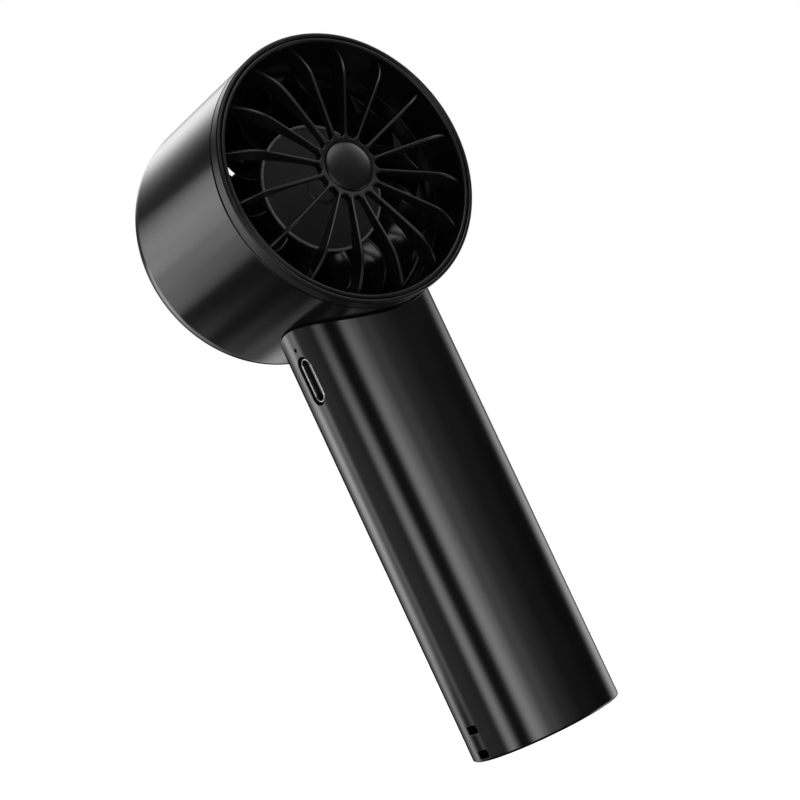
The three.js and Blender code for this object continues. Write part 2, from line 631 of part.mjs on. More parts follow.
function rearGrille() {
  const outerRound = HEAD_REAR_ROUND - SHELL_WALL - FIT;
  const innerRound = outerRound - DUCT_WALL;
  const lip = REAR_CENTRE_RADIUS - FIT;
  const face = HEAD_LENGTH - FIT;
  const back = REAR_CENTRE_DEPTH + innerRound;
  const basket = turned([
    ...arc(REAR_CENTRE_RADIUS, REAR_CENTRE_DEPTH, outerRound, 0, 90, 3),
    [lip, REAR_CENTRE_DEPTH + outerRound],
    [lip, face],
    [lip - REAR_RING_WIDTH, face],
    [lip - REAR_RING_WIDTH, back],
    ...arc(REAR_CENTRE_RADIUS, REAR_CENTRE_DEPTH, innerRound, 90, 0, 3),
  ], MEDIUM);
  const barFront = face - REAR_BAR_DEPTH;
  const rings = REAR_RING_RADII.map((radius) => (
    tube(radius, radius + REAR_RING_WIDTH, barFront, face, MEDIUM)
  ));
  const hub = rod(REAR_HUB_RADIUS, barFront, face, MEDIUM);
  const spoke = box(0, lip - REAR_RING_WIDTH / 2, barFront, face, -REAR_RING_WIDTH / 2, REAR_RING_WIDTH / 2);
  return join(basket, hub, ...rings, ...around(spoke, REAR_SPOKES, 180 / REAR_SPOKES));
}

// ---------------------------------------------------------------- rotor

function impeller() {
  const edge = IMPELLER_EDGE;
  const cup = turned([
    [0, IMPELLER_FRONT],
    [IMPELLER_BOSS_RADIUS, IMPELLER_FRONT],
    [IMPELLER_BOSS_RADIUS + edge, IMPELLER_FRONT + edge],
    [IMPELLER_HUB_RADIUS - 2 * edge, IMPELLER_FRONT + edge],
    [IMPELLER_HUB_RADIUS - edge, IMPELLER_FRONT],
    [IMPELLER_HUB_RADIUS, IMPELLER_FRONT + edge],
    [IMPELLER_HUB_RADIUS, IMPELLER_REAR],
    [IMPELLER_INNER, IMPELLER_REAR],
    [IMPELLER_INNER, IMPELLER_DISC_REAR],
    [0, IMPELLER_DISC_REAR],
  ], MEDIUM);
  const spec = {
    inner: IMPELLER_HUB_RADIUS - IMPELLER_WALL / 2,
    outer: BLADE_TIP_RADIUS,
    front: IMPELLER_FRONT + BLADE_FRONT_SET,
    rear: IMPELLER_REAR - BLADE_REAR_SET,
    thickness: BLADE_THICKNESS,
    hubWrap: BLADE_HUB_WRAP,
    tipWrap: BLADE_TIP_WRAP,
    lean: BLADE_LEAN,
    sweep: BLADE_SWEEP,
    spanSteps: BLADE_SPAN_STEPS,
  };
  return join(cup, ...around(blade(spec, BLADE_PHASE), BLADE_COUNT));
}

function rotorCan() {
  return turned([
    [SHAFT_RADIUS + RUNNING_FIT, CAN_FRONT],
    [CAN_OUTER, CAN_FRONT],
    [CAN_OUTER, CAN_REAR],
    [CAN_INNER, CAN_REAR],
    [CAN_INNER, CAN_FRONT + CAN_FRONT_PLATE],
    [CAN_BOSS_RADIUS, CAN_FRONT + CAN_FRONT_PLATE],
    [CAN_BOSS_RADIUS, CAN_BOSS_REAR],
    [SHAFT_RADIUS + RUNNING_FIT, CAN_BOSS_REAR],
  ], MEDIUM);
}

function magnetRing() {
  return tube(MAGNET_INNER, MAGNET_OUTER, MAGNET_FRONT, MAGNET_REAR, MEDIUM);
}

function motorShaft() {
  return rod(SHAFT_RADIUS, CAN_FRONT, SHAFT_REAR);
}

function shaftClip() {
  const ring = tube(SHAFT_RADIUS + RUNNING_FIT, CLIP_RADIUS, CLIP_DEPTH, CLIP_DEPTH + CLIP_THICKNESS, SMALL);
  const mouth = box(0, CLIP_RADIUS + PAST, 0, HEAD_LENGTH, -CLIP_MOUTH / 2, CLIP_MOUTH / 2);
  return cut(ring, mouth);
}

// ---------------------------------------------------------------- motor, fixed side

function statorFrame() {
  const ring = tube(FRAME_RING_INNER, FRAME_RING_OUTER, FRAME_RING_FRONT, FRAME_REAR, MEDIUM);
  const hubInner = IMPELLER_HUB_RADIUS - FRAME_HUB_WALL;
  const hub = turned([
    [TUBE_INNER, TUBE_FRONT],
    [TUBE_OUTER, TUBE_FRONT],
    [TUBE_OUTER, PLATE_FRONT],
    [hubInner, PLATE_FRONT],
    [hubInner, FRAME_HUB_FRONT],
    [IMPELLER_HUB_RADIUS, FRAME_HUB_FRONT],
    [IMPELLER_HUB_RADIUS, FRAME_REAR],
    [hubInner, FRAME_REAR],
    [hubInner, PLATE_REAR],
    [TUBE_INNER, PLATE_REAR],
  ], MEDIUM);
  const spec = {
    inner: IMPELLER_HUB_RADIUS - FRAME_HUB_WALL / 2,
    outer: FRAME_RING_INNER + FRAME_RING_WALL / 2,
    front: FRAME_REAR - VANE_LENGTH,
    rear: FRAME_REAR - VANE_THICKNESS,
    thickness: VANE_THICKNESS,
    hubWrap: VANE_WRAP,
    tipWrap: VANE_WRAP,
    lean: 0,
    sweep: 0,
    spanSteps: VANE_SPAN_STEPS,
  };
  const vanes = around(blade(spec, 270), VANE_COUNT);
  const leadSlot = box(
    -LEAD_HOLE_RADIUS, LEAD_HOLE_RADIUS,
    FRAME_HUB_FRONT - PAST, LEAD_DEPTH + LEAD_RADIUS + FIT,
    -IMPELLER_HUB_RADIUS, -hubInner + PAST,
  );
  const holeOutline = circle(0, LEAD_DEPTH, LEAD_HOLE_RADIUS);
  const leadHole = prism(holeOutline, 'z', -DUCT_RADIUS, -FRAME_RING_INNER + PAST);
  return cut(join(hub, ring, ...vanes), leadSlot, leadHole);
}

function statorCore() {
  const yoke = tube(CORE_BORE, CORE_BORE + CORE_YOKE, CORE_FRONT, CORE_REAR, CORE_FACETS);
  const tooth = box(
    CORE_BORE + CORE_YOKE / 2, CORE_OUTER - TOOTH_SHOE / 2,
    CORE_FRONT, CORE_REAR,
    -TOOTH_WIDTH / 2, TOOTH_WIDTH / 2,
  );
  const shoes = tube(CORE_OUTER - TOOTH_SHOE, CORE_OUTER, CORE_FRONT, CORE_REAR, CORE_FACETS);
  const slit = box(
    CORE_OUTER - 2 * TOOTH_SHOE, CORE_OUTER + PAST,
    0, HEAD_LENGTH,
    -TOOTH_SLIT / 2, TOOTH_SLIT / 2,
  );
  const slits = around(slit, TOOTH_COUNT, 180 / TOOTH_COUNT);
  return join(yoke, ...around(tooth, TOOTH_COUNT), cut(shoes, ...slits));
}

// The winding of one tooth, a wound loop around the tooth that points along +X.
function coil() {
  const clearance = SCREW_FIT;
  const innerHalf = TOOTH_WIDTH / 2 + clearance;
  const outerHalf = innerHalf + COIL_THICKNESS;
  const middle = (CORE_FRONT + CORE_REAR) / 2;
  const length = CORE_REAR - CORE_FRONT + 2 * clearance;
  const from = CORE_BORE + CORE_YOKE + clearance;
  const to = CORE_OUTER - TOOTH_SHOE - 2 * clearance;
  const outline = slot(middle, 0, length + 2 * COIL_THICKNESS, 2 * outerHalf, COIL_THICKNESS);
  const loop = prism(outline, 'x', from, to, 2);
  const window = box(
    from - PAST, to + PAST,
    middle - length / 2, middle + length / 2,
    -innerHalf, innerHalf,
  );
  return cut(loop, window);
}

function bearing(front) {
  return tube(SHAFT_RADIUS + RUNNING_FIT, BEARING_RADIUS, front, front + BEARING_WIDTH, SMALL);
}

function motorBoard() {
  const outer = IMPELLER_HUB_RADIUS - FRAME_HUB_WALL - 4 * FIT;
  return tube(TUBE_OUTER + FIT, outer, BOARD_FRONT_DEPTH, BOARD_FRONT_DEPTH + MOTOR_BOARD_THICKNESS, MEDIUM);
}

function motorCover() {
  const radius = IMPELLER_HUB_RADIUS;
  const plug = radius - FRAME_HUB_WALL - FIT;
  const wall = FRAME_HUB_WALL;
  const front = FRAME_REAR + PARTING;
  const dome = arc(0, front, 1, 0, 90, 4).map(([r, d]) => [r * radius, front + (d - front) * TAIL_DOME]);
  dome[dome.length - 1][0] = 0;
  const innerTop = front + TAIL_DOME - wall;
  return turned([
    [plug, front - TAIL_PLUG],
    [plug, front],
    ...dome,
    [0, innerTop],
    [plug - wall, front],
    [plug - wall, front - TAIL_PLUG],
  ], MEDIUM);
}

// ---------------------------------------------------------------- handle

function handleTube() {
  const top = HEAD_AXIS_HEIGHT;
  const outer = turned([
    [0, 0],
    [HANDLE_HALF_WIDTH - HANDLE_EDGE, 0],
    [HANDLE_HALF_WIDTH, HANDLE_EDGE],
    [HANDLE_HALF_WIDTH, top],
    [0, top],
  ]).rotate([90, 0, 0]).scale([1, HANDLE_HALF_DEPTH / HANDLE_HALF_WIDTH, 1]);
  const inner = prism(ellipse(HANDLE_INNER_X, HANDLE_INNER_Y), 'z', -PAST, top + PAST, ROUND);
  const barrel = turnedOnHeadAxis(rod(HEAD_RADIUS + HEAD_GAP, -PAST, HEAD_LENGTH + PAST, ROUND));
  const left = [-HANDLE_HALF_WIDTH - PAST, -HANDLE_HALF_WIDTH / 2];
  const portHole = prism(portOutline(-PORT_HOLE_MARGIN), 'x', ...left, 4);
  const ledHole = prism(circle(PORT_OFFSET, LED_HEIGHT, LED_HOLE_RADIUS), 'x', ...left, 12);
  const lanyardSlots = [LANYARD_LOW, LANYARD_HIGH].map((height) => prism(
    slot(0, height, LANYARD_SLOT_WIDTH, LANYARD_SLOT_HEIGHT, LANYARD_SLOT_HEIGHT / 4),
    'x', ...left, 2,
  ));
  const buttonHole = prism(
    circle(0, BUTTON_HEIGHT, BUTTON_RADIUS + BUTTON_BEZEL_WIDTH + FIT),
    'y', 0, HANDLE_HALF_DEPTH + PAST, MEDIUM,
  );
  return cut(outer, inner, barrel, portHole, ledHole, ...lanyardSlots, buttonHole);
}

function turnedOnHeadAxis(solid) {
  return solid.translate([0, -HANDLE_TO_FRONT, HEAD_AXIS_HEIGHT]);
}

function bottomCap() {
  const plug = ellipse(CAP_HALF_X, CAP_HALF_Y);
  const floor = prism(plug, 'z', 0, CAP_FLOOR, ROUND);
  const blockInner = -CAP_HALF_X + LANYARD_BLOCK_DEPTH;
  const halfBlock = LANYARD_BLOCK_WIDTH / 2;
  const block = box(
    -CAP_HALF_X - PAST, blockInner,
    -halfBlock, halfBlock,
    CAP_FLOOR - SINK, LANYARD_BLOCK_HEIGHT,
  );
  const oval = prism(plug, 'z', 0, LANYARD_BLOCK_HEIGHT, ROUND);
  const halfSlot = LANYARD_SLOT_WIDTH / 2 + SCREW_FIT;
  const channelTop = LANYARD_HIGH + LANYARD_SLOT_HEIGHT / 2 + SCREW_FIT;
  const channel = box(
    -CAP_HALF_X - PAST, -CAP_HALF_X + LANYARD_CHANNEL_DEPTH,
    -halfSlot, halfSlot,
    LANYARD_FLOOR, channelTop,
  );
  return cut(join(floor, block.intersect(oval)), channel);
}

function batteryCell() {
  const shoulder = CELL_TOP - CELL_BUTTON_HEIGHT;
  return turned([
    [0, CELL_BOTTOM],
    [CELL_RADIUS - CELL_EDGE, CELL_BOTTOM],
    [CELL_RADIUS, CELL_BOTTOM + CELL_EDGE],
    [CELL_RADIUS, shoulder - CELL_EDGE],
    [CELL_RADIUS - CELL_EDGE, shoulder],
    [CELL_BUTTON_RADIUS, shoulder],
    [CELL_BUTTON_RADIUS, CELL_TOP],
    [0, CELL_TOP],
  ], MEDIUM).rotate([90, 0, 0]);
}

// A nickel strip from the middle of the cell out to one side: side is 1 for +X, -1 for -X.
function batteryTab(side, bottom) {
  const ends = [side * -TAB_WIDTH / 2, side * TAB_LENGTH].sort((a, b) => a - b);
  return box(...ends, -TAB_WIDTH / 2, TAB_WIDTH / 2, bottom, bottom + TAB_THICKNESS);
}

function batteryCarrier() {
  const oval = ellipse(CAP_HALF_X, CAP_HALF_Y);
  const bore = rod(CELL_BORE, 0, DECK_BOTTOM, MEDIUM).rotate([90, 0, 0]);
  const rings = CARRIER_RING_HEIGHTS.map((height) => (
    prism(oval, 'z', height, height + CARRIER_RING_LENGTH, MEDIUM)
  ));
  const deck = prism(oval, 'z', DECK_BOTTOM, DECK_TOP, MEDIUM);
  const railBottom = CAP_FLOOR + FIT;
  const halfRail = CARRIER_RAIL_WIDTH / 2;
  const rails = [-1, 1].map((side) => {
    const edges = [side * (CAP_HALF_Y - CARRIER_RAIL_DEPTH), side * CAP_HALF_Y].sort((a, b) => a - b);
    return box(-halfRail, halfRail, ...edges, railBottom, DECK_BOTTOM + SINK);
  });
  const ovalColumn = prism(oval, 'z', railBottom, DECK_TOP, MEDIUM);
  const plate = box(
    -TONGUE_HALF_WIDTH, TONGUE_HALF_WIDTH,
    PLATE_FRONT_Y, PLATE_BACK_Y,
    DECK_TOP - SINK, NECK_BOTTOM - FIT,
  );
  const posts = BOARD_SCREW_SPOTS.map(([x, z]) => (
    prism(circle(x, z, BOARD_POST_RADIUS), 'y', PLATE_BACK_Y - SINK, BOARD_FRONT_Y - FIT / 2, 12)
  ));
  const pilotBottom = PLATE_BACK_Y - BOARD_SCREW_BITE - FIT;
  const boardScrewHoles = BOARD_SCREW_SPOTS.map(([x, z]) => (
    prism(circle(x, z, BOARD_SCREW_RADIUS + SCREW_FIT), 'y', pilotBottom, BOARD_BACK_Y, 12)
  ));
  const neckScrewHoles = neckScrewSpots().map(([x, z]) => (
    prism(circle(x, z, NECK_SCREW_RADIUS + SCREW_FIT), 'y', PLATE_FRONT_Y - PAST, PLATE_BACK_Y + PAST, 12)
  ));
  const notchEnd = CELL_BORE + LEAD_NOTCH_DEPTH;
  const halfNotch = TAB_WIDTH / 2 + 4 * FIT;
  const leadNotches = [[-notchEnd, -CELL_BORE + PAST], [CELL_BORE - PAST, notchEnd]].map(([from, to]) => (
    box(from, to, -halfNotch, halfNotch, 0, DECK_TOP + PAST)
  ));
  const frame = join(...rings, ...rails.map((rail) => rail.intersect(ovalColumn)), deck);
  return cut(join(cut(frame, bore, ...leadNotches), plate, ...posts), ...boardScrewHoles, ...neckScrewHoles);
}

// ---------------------------------------------------------------- electronics in the handle

function mainBoard() {
  const outline = polygon([
    [BOARD_LEFT, BOARD_BOTTOM],
    [BOARD_RIGHT, BOARD_BOTTOM],
    [BOARD_RIGHT, BOARD_TOP],
    [BOARD_EAR_RIGHT, BOARD_TOP],
    [BOARD_EAR_RIGHT, BOARD_EAR_TOP],
    [BOARD_LEFT, BOARD_EAR_TOP],
  ]);
  const holes = BOARD_SCREW_SPOTS.map(([x, z]) => (
    prism(circle(x, z, BOARD_SCREW_RADIUS + SCREW_FIT), 'y', BOARD_FRONT_Y - PAST, BOARD_BACK_Y + PAST, 12)
  ));
  return cut(prism(outline, 'y', BOARD_FRONT_Y, BOARD_BACK_Y), ...holes);
}

function portOutline(inset) {
  const [width, height] = [PORT_SHELL_WIDTH - 2 * inset, PORT_SHELL_HEIGHT - 2 * inset];
  return slot(PORT_OFFSET, PORT_HEIGHT, width, height, PORT_END_ROUNDNESS * width / 2);
}

function usbShell() {
  const body = prism(portOutline(0), 'x', PORT_MOUTH_X, PORT_BACK_X, 4);
  const floor = PORT_BACK_X - PORT_SHELL_WALL;
  const cavity = prism(portOutline(PORT_SHELL_WALL), 'x', PORT_MOUTH_X - PAST, floor, 4);
  return cut(body, cavity);
}

function usbTongue() {
  const [halfThick, halfTall] = [PORT_TONGUE_THICKNESS / 2, PORT_SHELL_HEIGHT / 2 - PORT_TONGUE_MARGIN];
  const back = PORT_BACK_X - PORT_SHELL_WALL - FIT;
  const blade = box(
    PORT_MOUTH_X + PORT_TONGUE_SET, back,
    PORT_OFFSET - halfThick, PORT_OFFSET + halfThick,
    PORT_HEIGHT - halfTall, PORT_HEIGHT + halfTall,
  );
  const base = prism(portOutline(PORT_SHELL_WALL + FIT), 'x', back - PORT_BASE_LENGTH, back, 2);
  return join(blade, base);
}

function onBoardBack(halfX, halfZ, x, z, depth) {
  const near = BOARD_BACK_Y + FIT / 4;
  return box(x - halfX, x + halfX, near, near + depth, z - halfZ, z + halfZ);
}

function switchBody() {
  const body = onBoardBack(SWITCH_SIZE / 2, SWITCH_SIZE / 2, 0, BUTTON_HEIGHT, SWITCH_DEPTH);
  const well = prism(
    circle(0, BUTTON_HEIGHT, PLUNGER_RADIUS + SCREW_FIT), 'y',
    SWITCH_BACK_Y - PLUNGER_PROUD - 2 * BUTTON_TRAVEL, SWITCH_BACK_Y + PAST, 16,
  );
  return cut(body, well);
}

function switchPlunger() {
  return prism(
    circle(0, BUTTON_HEIGHT, PLUNGER_RADIUS), 'y',
    SWITCH_BACK_Y - PLUNGER_PROUD, SWITCH_BACK_Y + PLUNGER_PROUD, 16,
  );
}

function powerButton() {
  const axis = [0, 0, BUTTON_HEIGHT];
  return turned([
    [0, BUTTON_TIP_Y],
    [BUTTON_STEM_RADIUS, BUTTON_TIP_Y],
    [BUTTON_STEM_RADIUS, BUTTON_CAP_BACK_Y - BUTTON_FLANGE],
    [BUTTON_RADIUS + BUTTON_BEZEL_WIDTH, BUTTON_CAP_BACK_Y - BUTTON_FLANGE],
    [BUTTON_RADIUS + BUTTON_BEZEL_WIDTH, BUTTON_CAP_BACK_Y],
    [BUTTON_RADIUS, BUTTON_CAP_BACK_Y],
    [BUTTON_RADIUS, BUTTON_FACE_Y - BUTTON_EDGE],
    [BUTTON_RADIUS - BUTTON_EDGE, BUTTON_FACE_Y],
    [0, BUTTON_FACE_Y],
  ], MEDIUM).translate(axis);
}

function buttonBezel() {
  const outer = BUTTON_RADIUS + BUTTON_BEZEL_WIDTH;
  const back = Math.max(BEZEL_RING_BACK_Y, BUTTON_CAP_BACK_Y + FIT);
  const ring = tube(BUTTON_RADIUS + SCREW_FIT, outer, back, HANDLE_HALF_DEPTH + BUTTON_BEZEL_PROUD, MEDIUM);
  return ring.translate([0, 0, BUTTON_HEIGHT]);
}

function indicatorLed() {
  const half = LED_SIZE / 2;
  const [front, back] = [PORT_OFFSET - half, BOARD_FRONT_Y - FIT / 4];
  return box(BOARD_LEFT, BOARD_EAR_RIGHT, front, back, LED_HEIGHT - half, LED_HEIGHT + half);
}

function lightPipe() {
  const flangeBack = BOARD_LEFT - FIT;
  const flangeFront = -HANDLE_INNER_X + FIT;
  const radius = LED_HOLE_RADIUS - LIGHT_PIPE_FIT;
  const pinFace = -HANDLE_HALF_WIDTH + LIGHT_PIPE_RECESS;
  const pin = prism(circle(PORT_OFFSET, LED_HEIGHT, radius), 'x', pinFace, flangeBack, 12);
  const flange = prism(circle(PORT_OFFSET, LED_HEIGHT, 2 * radius), 'x', flangeFront, flangeBack, 12);
  return join(pin, flange);
}

function controllerChip() {
  const near = BOARD_FRONT_Y - FIT / 4;
  const half = CHIP_SIZE / 2;
  return box(
    CHIP_X - half, CHIP_X + half,
    near - CHIP_DEPTH, near,
    BUTTON_HEIGHT - half, BUTTON_HEIGHT + half,
  );
}

function powerInductor() {
  const near = BOARD_FRONT_Y - FIT / 4;
  return prism(circle(INDUCTOR_X, BUTTON_HEIGHT, INDUCTOR_RADIUS), 'y', near - INDUCTOR_DEPTH, near, SMALL);
}

// ---------------------------------------------------------------- screws and leads

// A pan-head screw along +Y: the head's back face is at headY, the point at tipY.
function screw(x, z, headY, tipY, radius, headRadius, headHeight) {
  const sign = Math.sign(headY - tipY);
  const depths = [tipY, headY, headY + sign * headHeight];
  return turned([
    [0, depths[0]],
    [radius, depths[0]],
    [radius, depths[1]],
    [headRadius, depths[1]],
    [headRadius, depths[1] + sign * headHeight / 2],
    [headRadius - headHeight / 4, depths[2]],
    [0, depths[2]],
  ], 16).translate([x, 0, z]);
}

function neckScrew([x, z]) {
  return screw(
    x, z, TONGUE_FRONT - FIT / 2, PLATE_BACK_Y,
    NECK_SCREW_RADIUS, NECK_SCREW_HEAD_RADIUS, NECK_SCREW_HEAD,
  );
}

function boardScrew([x, z]) {
  return screw(
    x, z, BOARD_BACK_Y + FIT / 2, PLATE_BACK_Y - BOARD_SCREW_BITE,
    BOARD_SCREW_RADIUS, BOARD_SCREW_HEAD_RADIUS, BOARD_SCREW_HEAD,
  );
}

// A round lead swept through its points.
function lead(points, steps) {
  const path = new THREE.CatmullRomCurve3(points.map((point) => new THREE.Vector3(...point)));
  return solidOf(new THREE.ExtrudeGeometry(circle(0, 0, LEAD_RADIUS), {
    steps,
    extrudePath: path,
    curveSegments: LEAD_SIDES / 2,
    bevelEnabled: false,
  }));
}

// Motor leads: from the motor's board down through the duct wall and the neck to the board.
function motorLead(offset) {
  const top = HEAD_AXIS_HEIGHT - (IMPELLER_HUB_RADIUS - FRAME_HUB_WALL - 4 * FIT) - LEAD_RADIUS;
  const landing = BOARD_RIGHT - LEAD_LANDING_SET;
  const heights = LEAD_RUN_SETS.map((drop) => NECK_BOTTOM - drop + offset);
  return lead([
    [offset, LEAD_Y, top],
    [offset, LEAD_Y, HEAD_AXIS_HEIGHT - FRAME_RING_INNER],
    [offset, LEAD_Y, NECK_BOTTOM - HEAD_GAP],
    [landing / 2 + offset, LEAD_Y, heights[0]],
    [landing, LEAD_Y - LEAD_BEND, heights[1]],
    [landing, LEAD_LANDING_Y, heights[2]],
  ], 14);
}

function batteryLeadPositive() {
  const x = -CELL_RADIUS - LEAD_RADIUS - 3 * FIT;
  return lead([
    [x, -TAB_WIDTH / 4, CELL_TOP + TAB_THICKNESS + LEAD_RADIUS + FIT],
    [x, TAB_WIDTH / 4, DECK_TOP - FIT],
    [x, LEAD_LANDING_Y, BOARD_BOTTOM + SINK],
    [x, LEAD_LANDING_Y, BOARD_BOTTOM + LEAD_BEND],
  ], 8);
}

function batteryLeadNegative() {
  const x = CELL_RADIUS + LEAD_RADIUS + 3 * FIT;
  return lead([
    [x, 0, CELL_BOTTOM + LEAD_RADIUS + FIT],
    [x, 0, CELL_TOP - 2.5 * LEAD_BEND],
    [x, TAB_WIDTH / 4, CELL_TOP - LEAD_BEND / 3],
    [x, LEAD_LANDING_Y, BOARD_BOTTOM - LEAD_BEND / 2],
    [x, LEAD_LANDING_Y, BOARD_BOTTOM + LEAD_BEND],
  ], 12);
}

// ---------------------------------------------------------------- the assembled fan

const head = new THREE.Group();
head.position.set(0, -HANDLE_TO_FRONT, HEAD_AXIS_HEIGHT);
head.add(
  piece('head_shell', headShell(), 'black_metal'),
  piece('front_bezel', frontBezel(), 'black_plastic'),
  piece('front_grille', frontGrille(), 'black_plastic'),
  piece('grille_cap', grilleCap(), 'black_plastic'),
  piece('duct_housing', ductHousing(), 'black_plastic'),
  piece('rear_grille', rearGrille(), 'black_plastic'),
  piece('stator_frame', statorFrame(), 'black_plastic'),
  piece('stator_core', statorCore(), 'dark_steel'),
  piece('bearing_front', bearing(FRONT_BEARING_DEPTH), 'steel'),
  piece('bearing_rear', bearing(REAR_BEARING_DEPTH), 'steel'),
  piece('motor_board', motorBoard(), 'board'),
  piece('motor_cover', motorCover(), 'black_plastic'),
);
for (let i = 0; i < TOOTH_COUNT; i += 1) {
  const winding = piece(`coil_${i + 1}`, coil(), 'copper');
  winding.rotation.y = 2 * Math.PI * i / TOOTH_COUNT;
  head.add(winding);
}

const rotor = new THREE.Group();
rotor.add(
  piece('impeller', impeller(), 'gloss_plastic'),
  piece('rotor_can', rotorCan(), 'dark_steel'),
  piece('magnet_ring', magnetRing(), 'dark_steel'),
  piece('motor_shaft', motorShaft(), 'steel'),
  piece('shaft_clip', shaftClip(), 'steel'),
);
head.add(rotor);

const handle = new THREE.Group();
handle.add(
  piece('handle_tube', handleTube(), 'black_metal'),
  piece('bottom_cap', bottomCap(), 'black_plastic'),
  piece('battery_carrier', batteryCarrier(), 'white_plastic'),
  piece('battery_cell', batteryCell(), 'cell_wrap'),
  piece('battery_tab_top', batteryTab(-1, CELL_TOP + FIT / 4), 'steel'),
  piece('battery_tab_bottom', batteryTab(1, CELL_BOTTOM - TAB_THICKNESS - FIT / 4), 'steel'),
  piece('main_board', mainBoard(), 'board'),
  piece('usb_shell', usbShell(), 'steel'),
  piece('usb_tongue', usbTongue(), 'black_plastic'),
  piece('switch_body', switchBody(), 'dark_steel'),
  piece('switch_plunger', switchPlunger(), 'black_plastic'),
  piece('power_button', powerButton(), 'black_metal'),
  piece('button_bezel', buttonBezel(), 'black_metal'),
  piece('indicator_led', indicatorLed(), 'white_plastic'),
  piece('light_pipe', lightPipe(), 'clear'),
  piece('controller_chip', controllerChip(), 'black_plastic'),
  piece('power_inductor', powerInductor(), 'dark_steel'),
  piece('battery_lead_positive', batteryLeadPositive(), 'red_lead'),
  piece('battery_lead_negative', batteryLeadNegative(), 'black_lead'),
);
neckScrewSpots().forEach((spot, i) => handle.add(piece(`neck_screw_${i + 1}`, neckScrew(spot), 'steel')));
BOARD_SCREW_SPOTS.forEach((spot, i) => handle.add(piece(`board_screw_${i + 1}`, boardScrew(spot), 'steel')));
[-1, 0, 1].forEach((side) => {
  handle.add(piece(`motor_lead_${side + 2}`, motorLead(side * LEAD_PITCH), 'red_lead'));
});

const group = new THREE.Group();
group.name = 'turbo_fan';
group.add(head, handle);

export default group;
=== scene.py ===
# %% [markdown]
# # A hand-held turbo fan
#
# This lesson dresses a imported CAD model. The fan is a metal barrel that holds a grille, a rotor
# and a motor, on an oval tube that holds the battery. The CAD solids give every size and place.
# Blender adds the fine rounding, the blades' smooth curves and the finish of each surface.

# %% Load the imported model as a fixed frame
import json
import math

import bmesh
import bpy
import numpy as np
from mathutils import Matrix, Vector
from mathutils.geometry import delaunay_2d_cdt


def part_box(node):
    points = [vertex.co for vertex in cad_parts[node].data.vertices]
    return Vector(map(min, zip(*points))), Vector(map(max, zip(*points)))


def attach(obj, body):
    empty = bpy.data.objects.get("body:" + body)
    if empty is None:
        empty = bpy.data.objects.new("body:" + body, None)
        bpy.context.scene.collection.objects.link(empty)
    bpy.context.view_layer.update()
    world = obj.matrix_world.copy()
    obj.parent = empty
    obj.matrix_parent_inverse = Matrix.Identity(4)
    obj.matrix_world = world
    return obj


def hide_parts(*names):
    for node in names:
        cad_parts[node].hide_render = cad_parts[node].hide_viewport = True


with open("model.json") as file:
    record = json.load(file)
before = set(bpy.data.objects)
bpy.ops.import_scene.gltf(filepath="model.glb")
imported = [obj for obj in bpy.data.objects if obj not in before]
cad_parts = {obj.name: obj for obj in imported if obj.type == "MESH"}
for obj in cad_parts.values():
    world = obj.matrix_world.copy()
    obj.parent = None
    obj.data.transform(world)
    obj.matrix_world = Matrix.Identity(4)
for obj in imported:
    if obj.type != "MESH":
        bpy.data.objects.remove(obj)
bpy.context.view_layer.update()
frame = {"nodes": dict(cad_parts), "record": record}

print("nodes:", len(frame["nodes"]))

# %% [markdown]
# ## Sizes that come from the frame
#
# A real maker would measure the castings before making a cover for them. Here the boxes of the
# CAD nodes are the castings: the barrel's radius, its axis and the handle's oval are read from
# them, so this file never guesses where a piece goes. All sizes below are in millimetres.

# %% Read the main sizes
MM = 0.001


def span(node):
    low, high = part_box(node)
    return low / MM, high / MM


shell_low, shell_high = span("head_shell")
tube_low, tube_high = span("handle_tube")
BARREL_RADIUS = (shell_high.x - shell_low.x) / 2
AXIS_HEIGHT = shell_high.z - BARREL_RADIUS
FRONT_Y = span("front_bezel")[0].y
BARREL_LENGTH = shell_high.y - FRONT_Y
HANDLE_X = (tube_high.x - tube_low.x) / 2
HANDLE_Y = (tube_high.y - tube_low.y) / 2
print(f"barrel radius {BARREL_RADIUS:.2f}, length {BARREL_LENGTH:.2f}, axis at {AXIS_HEIGHT:.2f}")
print(f"handle oval {2 * HANDLE_X:.1f} by {2 * HANDLE_Y:.1f}")

# %% [markdown]
# ## Helpers for meshes
#
# Nearly every piece of this fan is a stack of closed rings: a turned cover is a stack of
# circles, a blade is a stack of thin sections, a port is a stack of long ovals. One helper
# joins such a stack into a closed skin. It could be done with modifiers, but rings written in
# code keep every edge round exactly where it is wanted.

# %% Ring stacks
def circle_angles(count):
    """The angles of count equal steps round a circle."""
    return [2 * math.pi * i / count for i in range(count)]


def new_object(name, points, faces):
    mesh = bpy.data.meshes.new(name)
    mesh.from_pydata([Vector(p) * MM for p in points], [], faces)
    obj = bpy.data.objects.new(name, mesh)
    bpy.context.scene.collection.objects.link(obj)
    return obj


WELD = 1e-3


def faces_outward(obj):
    """Turns the faces of a closed mesh to face outwards, and welds points that coincide."""
    work = bmesh.new()
    work.from_mesh(obj.data)
    bmesh.ops.remove_doubles(work, verts=work.verts, dist=WELD * MM)
    bmesh.ops.dissolve_degenerate(work, edges=work.edges, dist=WELD / 10 * MM)
    bmesh.ops.recalc_face_normals(work, faces=work.faces)
    work.to_mesh(obj.data)
    work.free()


def ring_faces(count, rings, first=0, closed_stack=False):
    """Quads between neighbouring rings of count points each."""
    faces = []
    for r in range(rings if closed_stack else rings - 1):
        a, b = first + r * count, first + (r + 1) % rings * count
        for i in range(count):
            j = (i + 1) % count
            faces.append((a + i, a + j, b + j, b + i))
    return faces


